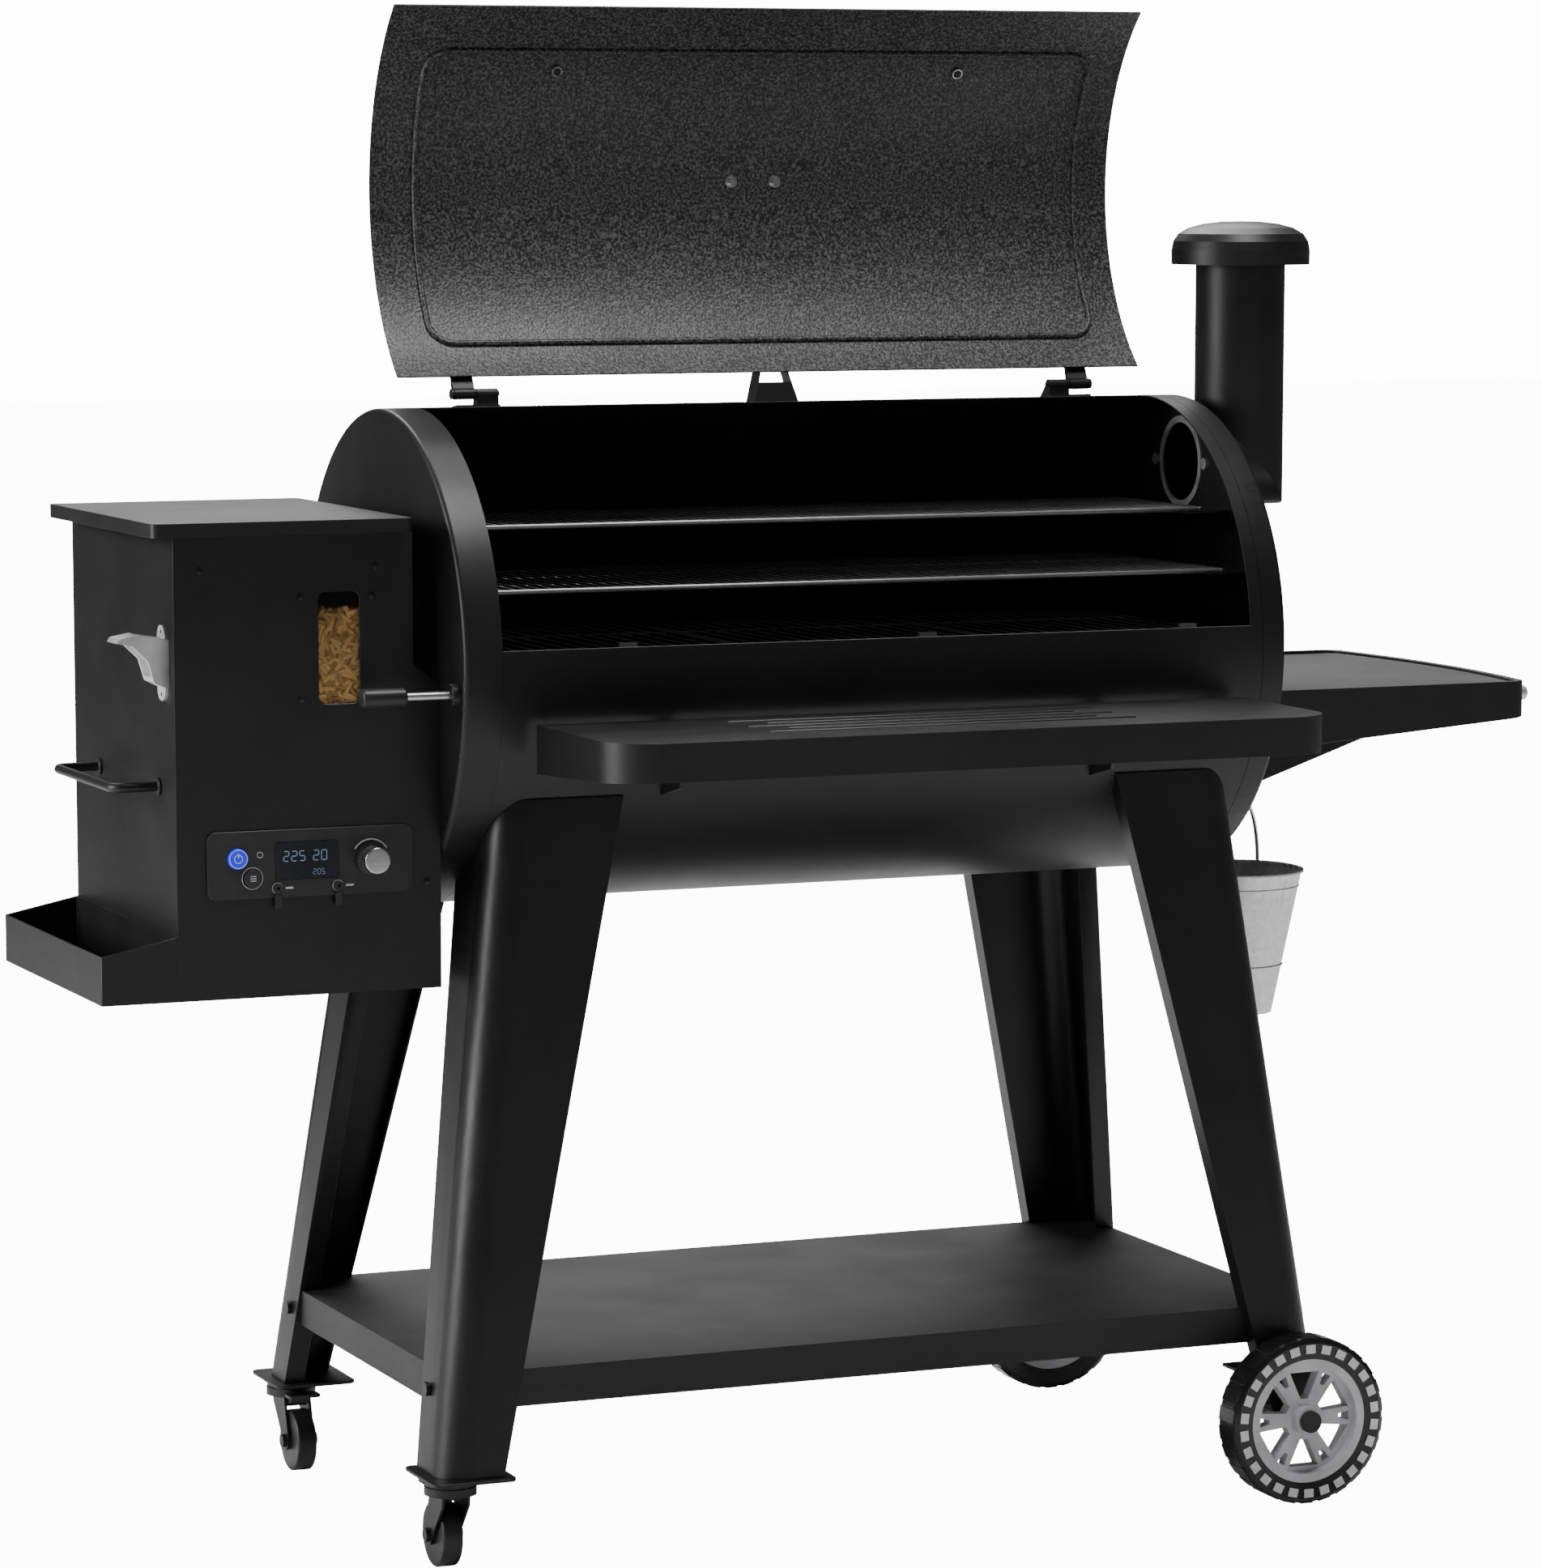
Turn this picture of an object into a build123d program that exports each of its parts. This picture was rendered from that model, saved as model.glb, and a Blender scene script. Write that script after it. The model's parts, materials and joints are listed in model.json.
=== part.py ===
"""Pellet smoker grill: barrel cooker on a two-wheel, two-caster stand, with hopper and shelves."""
from math import cos, radians, sin, sqrt
import os

from build123d import *

# ---------------------------------------------------------------- driving dimensions (mm)
BARREL_R = 286.0            # outside radius of the cooking barrel
BARREL_LENGTH = 1026.4      # over both end caps
BARREL_Z = 1012.0           # height of the barrel axis above the floor
SHEET = 2.0                 # sheet thickness of barrel, caps, lid and shelves

LEFT_RIM = 45.5             # width of the left end cap rim
RIGHT_RIM = 29.9            # width of the right end cap rim
OPEN_LOW = 5.55             # door opening, degrees up from the front horizontal
OPEN_HIGH = 92.6

LID_GAP = 1.0               # radial gap between closed lid and barrel
LID_ARC = 95.4              # degrees of arc the lid covers
LID_SWING = 131.9           # degrees from open to closed
HINGE_SPREAD = 764.0        # between the two lid hinges
HINGE_WIDTH = 54.0
HINGE_PIN_R = 3.0
RUNNING_FIT = 0.05          # radial clearance of a pin in its bore

PIPE_R = 54.15              # chimney pipe
PIPE_REACH = 75.2           # pipe axis out from the right cap
PIPE_TOP = 1462.0
CHIMNEY_CAP_R = 83.75

SHELF_Z = 957.0             # top of front and side shelves
FRONT_SHELF_LENGTH = 880.0
FRONT_SHELF_DEPTH = 247.0
SIDE_SHELF_WIDTH = 490.0
SIDE_SHELF_REACH = 373.0

HOPPER_WIDTH = 310.1        # along the barrel, from the left cap outwards
HOPPER_FRONT = -202.5
HOPPER_BACK = 194.6
HOPPER_BASE = 654.0
HOPPER_TOP = 1171.6
TRAY_WIDTH = 87.9           # side tray beyond the hopper

LEG_SHEET = 3.0
LEG_SPLAY_X = 0.13          # outward lean of the legs per unit of height
LEG_SPLAY_Y = 0.10
LOWER_SHELF_Z = 228.5
CASTER_HEIGHT = 108.0
CASTER_WHEEL_R = 37.5
WHEEL_R = 100.0
WHEEL_WIDTH = 45.0

BUCKET_R = 80.0

# ---------------------------------------------------------------- derived positions
HALF = BARREL_LENGTH / 2
SHELL_LEFT = -HALF + LEFT_RIM
SHELL_RIGHT = HALF - RIGHT_RIM
OPEN_RIGHT = SHELL_RIGHT - 17.1
LID_LEFT = SHELL_LEFT - 6.5
LID_RIGHT = SHELL_RIGHT - 2.6
LID_MID = (LID_LEFT + LID_RIGHT) / 2
LID_R_IN = BARREL_R + LID_GAP
LID_R_OUT = LID_R_IN + SHEET
HINGE_Y = 45.0
HINGE_Z = BARREL_Z + sqrt(BARREL_R ** 2 - HINGE_Y ** 2) + 16.6
LID_EDGE_HIGH = 95.8
LID_EDGE_LOW = LID_EDGE_HIGH - LID_ARC
HINGE_X = (LID_MID - HINGE_SPREAD / 2, LID_MID + HINGE_SPREAD / 2)

PIPE_X = HALF + PIPE_REACH
PIPE_Y = -14.0
FLUE_Z = BARREL_Z + 0.72 * BARREL_R

HOPPER_LEFT = -HALF - HOPPER_WIDTH
TRAY_LEFT = HOPPER_LEFT - TRAY_WIDTH
HOPPER_STEP_X = -HALF - 30.9
HOPPER_STEP_Z = BARREL_Z - 3.0

FRONT_SHELF_X = 8.4
SHELF_BACK = -(BARREL_R + 8.0)
SHELF_FRONT = SHELF_BACK - FRONT_SHELF_DEPTH
SHELF_PIVOT_Y = SHELF_BACK - 12.0
SHELF_PIVOT_Z = SHELF_Z - 32.0
BRACKET_X = (FRONT_SHELF_X - 270.0, FRONT_SHELF_X + 270.0)

AUGER_Z = BARREL_Z - 0.74 * BARREL_R
AUGER_R = 27.0
AUGER_TUBE_R = 30.0
POT_X = 0.0
UPPER_RACK_Z = BARREL_Z + 0.56 * BARREL_R
MIDDLE_RACK_Z = BARREL_Z + 0.318 * BARREL_R
GRATE_Z = BARREL_Z + 18.0
LEVER_Y = -0.916 * BARREL_R
LEVER_Z = BARREL_Z - 21.5
DRIP_Z = BARREL_Z - 48.0

LEG_TOP = BARREL_Z - 0.5035 * BARREL_R
LEG_FLANGE_Y = 0.8706 * BARREL_R
LEG_SIDE_X = HALF - 50.2
LEG_INNER_X = HALF - 203.2
LEG_BEND = 40.0
LEG_HEM = 25.0
CASTER_PLATE_T = 4.0
AXLE_PLATE_Z = WHEEL_R + 48.0
CASTER_PLATE_Z = CASTER_HEIGHT + CASTER_PLATE_T

SPOUT_Z = BARREL_Z - 0.82 * BARREL_R
HOOK_Z = SPOUT_Z + 17.0
BUCKET_RIM_Z = HOOK_Z - 80.5
BUCKET_X = HALF + 86.8


def leg_outer_y(z):
    return LEG_FLANGE_Y + LEG_SPLAY_Y * (LEG_TOP - z)


def leg_outer_x(z):
    return LEG_SIDE_X + LEG_SPLAY_X * (LEG_TOP - z)


def leg_inner_x(z):
    return LEG_INNER_X + (LEG_SPLAY_X + 0.102) * (LEG_TOP - z)


def leg_depth(z):
    return 0.409 * BARREL_R - 0.0435 * (LEG_TOP - z)


LEG_FOOT_X = leg_outer_x(CASTER_PLATE_Z)
LEG_FOOT_Y = leg_outer_y(CASTER_PLATE_Z)
CASTER_X = -(LEG_FOOT_X - 23.7)
CASTER_Y = LEG_FOOT_Y - 36.6
CASTER_TRAIL = 27.0
AXLE_Z = WHEEL_R
WHEEL_X = leg_outer_x(AXLE_PLATE_Z) - 44.3
WHEEL_INNER_Y = leg_outer_y(AXLE_PLATE_Z) + 6.1
WHEEL_Y = WHEEL_INNER_Y + WHEEL_WIDTH / 2
AXLE_CAP = 5.0
HOOK_OUT = 27.0             # tool hooks beyond the side shelf edge

X_MIN = TRAY_LEFT
X_MAX = HALF + SIDE_SHELF_REACH + HOOK_OUT
Y_MIN = SHELF_FRONT
Y_MAX = WHEEL_INNER_Y + WHEEL_WIDTH + AXLE_CAP
SHIFT = (-(X_MIN + X_MAX) / 2, -(Y_MIN + Y_MAX) / 2, 0.0)

os.makedirs("parts", exist_ok=True)


# ---------------------------------------------------------------- helpers
def block(x0, x1, y0, y1, z0, z1):
    middle = Pos((x0 + x1) / 2, (y0 + y1) / 2, (z0 + z1) / 2)
    return middle * Box(abs(x1 - x0), abs(y1 - y0), abs(z1 - z0))


def rod_x(x0, x1, y, z, r):
    return Pos((x0 + x1) / 2, y, z) * Rot(0, 90, 0) * Cylinder(r, abs(x1 - x0))


def rod_y(y0, y1, x, z, r):
    return Pos(x, (y0 + y1) / 2, z) * Rot(90, 0, 0) * Cylinder(r, abs(y1 - y0))


def rod_z(z0, z1, x, y, r):
    return Pos(x, y, (z0 + z1) / 2) * Cylinder(r, abs(z1 - z0))


def prism_x(points, x0, x1):
    """Solid from (y, z) corners, between two planes square to X."""
    wire = Wire.make_polygon([Vector(x0, y, z) for y, z in points], close=True)
    return extrude(Face(wire), amount=x1 - x0, dir=(1, 0, 0))


def prism_y(points, y0, y1):
    """Solid from (x, z) corners, between two planes square to Y."""
    wire = Wire.make_polygon([Vector(x, y0, z) for x, z in points], close=True)
    return extrude(Face(wire), amount=y1 - y0, dir=(0, 1, 0))


def prism_z(points, z0, z1):
    """Solid from (x, y) corners, between two planes square to Z."""
    wire = Wire.make_polygon([Vector(x, y, z0) for x, y in points], close=True)
    return extrude(Face(wire), amount=z1 - z0, dir=(0, 0, 1))


def slab_z(x0, x1, y0, y1, z0, z1, r):
    """Flat slab with rounded corners in plan."""
    outline = RectangleRounded(abs(x1 - x0), abs(y1 - y0), r)
    return Pos((x0 + x1) / 2, (y0 + y1) / 2, z0) * extrude(outline, amount=z1 - z0)


def slab_y(x0, x1, z0, z1, y0, y1, r):
    """Upright slab with rounded corners seen from the front."""
    outline = Plane.XZ * RectangleRounded(abs(x1 - x0), abs(z1 - z0), r)
    solid = extrude(outline, amount=y1 - y0, dir=(0, 1, 0))
    return Pos((x0 + x1) / 2, y0, (z0 + z1) / 2) * solid


def arc_sheet(x0, x1, cy, cz, r_in, r_out, a0, a1):
    """Curved sheet about an X axis; angles run up from the front horizontal."""
    def point(r, a):
        return (x0, cy - r * cos(radians(a)), cz + r * sin(radians(a)))

    mid = (a0 + a1) / 2
    outer = ThreePointArc(point(r_out, a0), point(r_out, mid), point(r_out, a1))
    inner = ThreePointArc(point(r_in, a1), point(r_in, mid), point(r_in, a0))
    end_a = Line(outer @ 1, inner @ 0)
    end_b = Line(inner @ 1, outer @ 0)
    return extrude(make_face([outer, end_a, inner, end_b]), amount=x1 - x0, dir=(1, 0, 0))


def lathe_z(profile, x, y):
    """Turned solid from (radius, z) corners about an upright axis."""
    wire = Wire.make_polygon([Vector(r, 0, z) for r, z in profile], close=True)
    return Pos(x, y, 0) * revolve(Face(wire), axis=Axis.Z)


def lathe_y(profile, x, z):
    """Turned solid from (radius, y) corners about an axis along Y."""
    wire = Wire.make_polygon([Vector(r, y, 0) for r, y in profile], close=True)
    return Pos(x, 0, z) * revolve(Face(wire), axis=Axis.Y)


def lathe_x(profile, y, z):
    """Turned solid from (radius, x) corners about an axis along X."""
    wire = Wire.make_polygon([Vector(x, r, 0) for r, x in profile], close=True)
    return Pos(0, y, z) * revolve(Face(wire), axis=Axis.X)


def bar(points, r):
    """Round bar bent through the given points with sharp mitres."""
    path = Polyline(*points)
    start = Plane(origin=points[0], z_dir=Vector(*points[1]) - Vector(*points[0]))
    return sweep(start * Circle(r), path=path, transition=Transition.ROUND)


def save(name, *pieces):
    """Write one named node; every piece in it stays its own solid."""
    solids = []
    for piece in pieces:
        solids.extend(piece.solids())
    moved = [Pos(*SHIFT) * solid for solid in solids]
    node = moved[0] if len(moved) == 1 else Compound(children=moved)
    node.label = name
    export_step(node, f"parts/{name}.step")


def radial(x, angle, r0, r1, r):
    """Round pin square to the barrel surface."""
    turn = Pos(x, 0, BARREL_Z) * Rot(90 - angle, 0, 0)
    return turn * Pos(0, 0, (r0 + r1) / 2) * Cylinder(r, r1 - r0)


def open_lid(solid):
    """Lid parts are drawn closed and swung back to the stop."""
    pivot = Axis((0, HINGE_Y, HINGE_Z), (1, 0, 0))
    return solid.rotate(pivot, -LID_SWING)


# ---------------------------------------------------------------- barrel shell and end caps
shell = rod_x(SHELL_LEFT, SHELL_RIGHT, 0, BARREL_Z, BARREL_R)
shell -= rod_x(SHELL_LEFT - 1, SHELL_RIGHT + 1, 0, BARREL_Z, BARREL_R - SHEET)
shell -= arc_sheet(
    SHELL_LEFT - 1, OPEN_RIGHT, 0, BARREL_Z, BARREL_R - 12, BARREL_R + 12, OPEN_LOW, OPEN_HIGH
)
save("barrel_shell", shell)


def end_cap(face_x, rim_x):
    """Pressed dish: a flat disc with a turned rim the size of the barrel."""
    inward = 1 if rim_x > face_x else -1
    order = Axis.X if inward > 0 else -Axis.X
    outside = rod_x(face_x, rim_x, 0, BARREL_Z, BARREL_R)
    outside = fillet(outside.edges().sort_by(order)[0], 6)
    inside = rod_x(face_x + inward * SHEET, rim_x + inward, 0, BARREL_Z, BARREL_R - SHEET)
    inside = fillet(inside.edges().sort_by(order)[0], 4)
    return outside - inside


AUGER_TUBE_OUT = AUGER_TUBE_R + 2.0
AIR_PIPE_Y = 60.0
AIR_PIPE_R = 18.0
LEVER_ROD_R = 5.0

left_cap = end_cap(-HALF, SHELL_LEFT)
left_cap -= rod_x(-HALF - 1, -HALF + 5, 0, AUGER_Z, AUGER_TUBE_OUT)
left_cap -= rod_x(-HALF - 1, -HALF + 5, AIR_PIPE_Y, AUGER_Z, AIR_PIPE_R)
left_cap -= rod_x(-HALF - 1, -HALF + 5, LEVER_Y, LEVER_Z, LEVER_ROD_R + 1)
lever_boss = rod_x(-HALF - 10, -HALF, LEVER_Y, LEVER_Z, 13)
lever_boss = fillet(lever_boss.edges().sort_by(Axis.X)[0], 2)
lever_boss -= rod_x(-HALF - 11, -HALF + 1, LEVER_Y, LEVER_Z, LEVER_ROD_R + RUNNING_FIT)
save("left_cap", left_cap, lever_boss)

FLUE_R = PIPE_R - 4.0
SPOUT_R = 16.0
right_cap = end_cap(HALF, SHELL_RIGHT)
right_cap -= rod_x(HALF - 5, HALF + 1, PIPE_Y, FLUE_Z, FLUE_R)
right_cap -= rod_x(HALF - 5, HALF + 1, 0, SPOUT_Z, SPOUT_R)
for side in (-1, 1):
    right_cap -= rod_x(HALF - 5, HALF + 1, PIPE_Y + side * 65, FLUE_Z, 4)
save("right_cap", right_cap)

# ---------------------------------------------------------------- flue ring and chimney
flue_ring = rod_x(HALF - SHEET - 2, HALF - SHEET, PIPE_Y, FLUE_Z, PIPE_R + 1)
flue_ring -= rod_x(HALF - SHEET - 3, HALF, PIPE_Y, FLUE_Z, FLUE_R - 3)
flange = Pos(HALF + 1.25, PIPE_Y, FLUE_Z) * Rot(0, 90, 0) * extrude(
    RectangleRounded(2 * PIPE_R + 6, 2 * 65 + 22, 20), amount=1.25, both=True
)
flange -= rod_x(HALF - 1, HALF + 4, PIPE_Y, FLUE_Z, FLUE_R)
flue_bolts = []
for side in (-1, 1):
    y = PIPE_Y + side * 65
    flange -= rod_x(HALF - 1, HALF + 4, y, FLUE_Z, 4)
    bolt = rod_x(HALF - SHEET - 4, HALF + 2.5, y, FLUE_Z, 4)
    bolt += rod_x(HALF - SHEET - 4, HALF - SHEET, y, FLUE_Z, 7)
    bolt += rod_x(HALF + 2.5, HALF + 6.5, y, FLUE_Z, 7)
    flue_bolts.append(bolt)
save("flue_ring", flue_ring, *flue_bolts)

PIPE_WALL = 1.5
PIPE_START = HALF + 2.5


def mitred_pipe(r):
    """Level stub into the cap and upright pipe, meeting on a 45 degree mitre."""
    reach = r + 20
    inner = (PIPE_X - reach, FLUE_Z + reach)
    outer = (PIPE_X + reach, FLUE_Z - reach)
    level_zone = [(PIPE_START, FLUE_Z - reach), outer, inner, (PIPE_START, FLUE_Z + reach)]
    upright_zone = [outer, (PIPE_X + reach, PIPE_TOP + 1), (PIPE_X - reach, PIPE_TOP + 1), inner]
    level = rod_x(PIPE_START, PIPE_X + reach, PIPE_Y, FLUE_Z, r)
    level = level & prism_y(level_zone, PIPE_Y - reach, PIPE_Y + reach)
    upright = rod_z(FLUE_Z - reach, PIPE_TOP, PIPE_X, PIPE_Y, r)
    upright = upright & prism_y(upright_zone, PIPE_Y - reach, PIPE_Y + reach)
    return level + upright


pipe = mitred_pipe(PIPE_R) - mitred_pipe(PIPE_R - PIPE_WALL)
bridge = block(PIPE_X - 7, PIPE_X + 7, PIPE_Y - 60, PIPE_Y + 60, PIPE_TOP - 14, PIPE_TOP - 11)
bridge = bridge & rod_z(PIPE_TOP - 20, PIPE_TOP, PIPE_X, PIPE_Y, PIPE_R - PIPE_WALL)
CAP_ROD_R = 4.0
CAP_TOP = PIPE_TOP + 45.0
cap_rod = rod_z(PIPE_TOP - 11, CAP_TOP - 4, PIPE_X, PIPE_Y, CAP_ROD_R)
save("chimney_pipe", pipe, flange, bridge + cap_rod)

cap_skirt = CHIMNEY_CAP_R
dome = [
    (0, CAP_TOP), (24, CAP_TOP - 0.6), (46, CAP_TOP - 3.2), (cap_skirt - 20, CAP_TOP - 8),
    (cap_skirt - 8, CAP_TOP - 15), (cap_skirt - 2, CAP_TOP - 24), (cap_skirt, CAP_TOP - 34),
    (cap_skirt, CAP_TOP - 52), (cap_skirt - 1.6, CAP_TOP - 52), (cap_skirt - 1.6, CAP_TOP - 34),
    (cap_skirt - 4, CAP_TOP - 25), (cap_skirt - 9.5, CAP_TOP - 17), (cap_skirt - 20.6, CAP_TOP - 10),
    (46, CAP_TOP - 5.2), (24, CAP_TOP - 2.6), (8, CAP_TOP - 2.2), (8, CAP_TOP - 37),
    (CAP_ROD_R + RUNNING_FIT, CAP_TOP - 37), (CAP_ROD_R + RUNNING_FIT, CAP_TOP - 3), (0, CAP_TOP - 3),
]
save("chimney_cap", lathe_z(dome, PIPE_X, PIPE_Y))

# ---------------------------------------------------------------- lid, hinges and stop
HANDLE_ANGLE = 18.8
BADGE_ANGLE = 46.0
BADGE_X = LID_MID + 7.0
HANDLE_X = (LID_MID - 258.0, LID_MID + 258.0)
HANDLE_STAND = 50.0
KNUCKLE_R = 6.5
STRAP = 3.0

lid = arc_sheet(
    LID_LEFT, LID_RIGHT, 0, BARREL_Z, LID_R_IN, LID_R_OUT, LID_EDGE_LOW, LID_EDGE_HIGH
)
for x in HANDLE_X:
    lid -= radial(x, HANDLE_ANGLE, LID_R_IN - 5, LID_R_OUT + 5, 3.0)
for x in (BADGE_X - 28, BADGE_X + 28):
    lid -= radial(x, BADGE_ANGLE, LID_R_IN - 5, LID_R_OUT + 5, 2.5)

straps = []
brackets = []
pins = []
strap_y = 18.0
strap_z = BARREL_Z + sqrt(LID_R_OUT ** 2 - strap_y ** 2)
for side, x in zip((-1, 1), HINGE_X):
    outboard = x + side * HINGE_WIDTH / 2
    lid_knuckle = sorted((x + side * 1.0, outboard))
    barrel_knuckle = sorted((x, x - side * HINGE_WIDTH / 2))
    strap = arc_sheet(
        x - HINGE_WIDTH / 2, x + HINGE_WIDTH / 2, 0, BARREL_Z,
        LID_R_OUT, LID_R_OUT + STRAP, 84.0, 94.0,
    )
    neck = [
        (strap_y - 4, strap_z - 0.2), (strap_y - 4, strap_z + STRAP + 0.1),
        (HINGE_Y - 3.6, HINGE_Z + 5.4), (HINGE_Y + 2, HINGE_Z), (HINGE_Y - 5, HINGE_Z - 4),
    ]
    strap += prism_x(neck, *lid_knuckle) - rod_x(
        *lid_knuckle, 0, BARREL_Z, LID_R_OUT
    )
    strap += rod_x(*lid_knuckle, HINGE_Y, HINGE_Z, KNUCKLE_R)
    strap -= rod_x(
        x - HINGE_WIDTH, x + HINGE_WIDTH, HINGE_Y, HINGE_Z, HINGE_PIN_R + RUNNING_FIT
    )
    straps.append(open_lid(strap))

    pad_start = 96.9
    bracket = arc_sheet(
        x - HINGE_WIDTH / 2, x + HINGE_WIDTH / 2, 0, BARREL_Z,
        BARREL_R, BARREL_R + STRAP, pad_start, pad_start + 8.5,
    )
    pad_z = BARREL_Z + sqrt(BARREL_R ** 2 - 56.0 ** 2)
    arm = [(39, pad_z), (56, pad_z), (HINGE_Y + 5, HINGE_Z), (HINGE_Y - 5, HINGE_Z)]
    rib = [(56, pad_z), (74, pad_z - 5), (HINGE_Y + 5, HINGE_Z)]
    bracket += prism_x(arm, *barrel_knuckle) - rod_x(
        *barrel_knuckle, 0, BARREL_Z, BARREL_R
    )
    inner_edge = x - side * HINGE_WIDTH / 2
    rib_span = sorted((inner_edge, inner_edge + side * 3))
    bracket += prism_x(rib, *rib_span) - rod_x(*rib_span, 0, BARREL_Z, BARREL_R)
    bracket += rod_x(*barrel_knuckle, HINGE_Y, HINGE_Z, KNUCKLE_R - 0.5)
    bracket -= rod_x(x - HINGE_WIDTH, x + HINGE_WIDTH, HINGE_Y, HINGE_Z, HINGE_PIN_R)
    brackets.append(bracket)

    pin_in = x - side * (HINGE_WIDTH / 2 + 2)
    pin_out = outboard + side * 0.5
    pin = rod_x(*sorted((pin_in, pin_out)), HINGE_Y, HINGE_Z, HINGE_PIN_R)
    pin += rod_x(*sorted((pin_out, pin_out + side * 3)), HINGE_Y, HINGE_Z, 6)
    pins.append(pin)
save("lid", open_lid(lid), *straps)

bar_r = LID_R_OUT + HANDLE_STAND
handle_y = -bar_r * cos(radians(HANDLE_ANGLE))
handle_z = BARREL_Z + bar_r * sin(radians(HANDLE_ANGLE))
handle = rod_x(HANDLE_X[0] - 24, HANDLE_X[1] + 24, handle_y, handle_z, 10)
for x in HANDLE_X:
    handle += radial(x, HANDLE_ANGLE, LID_R_OUT, bar_r, 7)
handle_bolts = []
for x in HANDLE_X:
    stud = radial(x, HANDLE_ANGLE, LID_R_IN - 3.5, LID_R_OUT + 14, 3.0)
    handle -= stud
    handle_bolts.append(stud + radial(x, HANDLE_ANGLE, LID_R_IN - 4.1, LID_R_IN - 0.1, 6.5))
save("lid_handle", open_lid(handle), *[open_lid(bolt) for bolt in handle_bolts])

badge = arc_sheet(
    BADGE_X - 46, BADGE_X + 46, 0, BARREL_Z,
    LID_R_OUT, LID_R_OUT + 3, BADGE_ANGLE - 3.4, BADGE_ANGLE + 3.4,
)
badge_bolts = []
for x in (BADGE_X - 28, BADGE_X + 28):
    stud = radial(x, BADGE_ANGLE, LID_R_IN - 2, LID_R_OUT + 3, 2.5)
    badge -= stud
    badge_bolts.append(stud + radial(x, BADGE_ANGLE, LID_R_IN - 3.1, LID_R_IN - 0.1, 5))
save("lid_badge", open_lid(badge), *[open_lid(bolt) for bolt in badge_bolts])

STOP_GAP = 0.5
stop_top = HINGE_Z + 30
open_centre = Vector(0, -HINGE_Y, BARREL_Z - HINGE_Z).rotate(Axis.X, -LID_SWING)
open_y = HINGE_Y + open_centre.Y
open_z = HINGE_Z + open_centre.Z
swept = rod_x(-60, 60, open_y, open_z, LID_R_OUT + STOP_GAP)


def stop_channel(half_low, half_high, front_low, front_high, back_low, back_high, low):
    """Tapered block, used twice to make the stop's open channel."""
    low_face = Plane((0, 0, low)) * Pos(0, (front_low + back_low) / 2) * Rectangle(
        2 * half_low, back_low - front_low
    )
    high_face = Plane((0, 0, stop_top)) * Pos(0, (front_high + back_high) / 2) * Rectangle(
        2 * half_high, back_high - front_high
    )
    return loft([low_face, high_face], ruled=True)


stop = stop_channel(31, 16, 38, 52, 66, 72, BARREL_Z + BARREL_R - 12)
stop -= stop_channel(29, 14, 41, 50, 80, 90, BARREL_Z + BARREL_R - 12.1)
stop -= rod_x(-60, 60, 0, BARREL_Z, BARREL_R)
stop -= swept
save("hinge_brackets", *brackets, *pins, stop)

# ---------------------------------------------------------------- front folding shelf
shelf_x0 = FRONT_SHELF_X - FRONT_SHELF_LENGTH / 2
shelf_x1 = FRONT_SHELF_X + FRONT_SHELF_LENGTH / 2
APRON_BACK = 55.0
APRON_FRONT = 43.0
SHELF_CORNER = 60.0


def shelf_body(inset, z0, z1, back):
    body = block(shelf_x0 + inset, shelf_x1 - inset, SHELF_FRONT + inset, back, z0, z1)
    corners = body.edges().filter_by(Axis.Z).sort_by(Axis.Y)[:2]
    return fillet(corners, SHELF_CORNER - inset)


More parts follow.
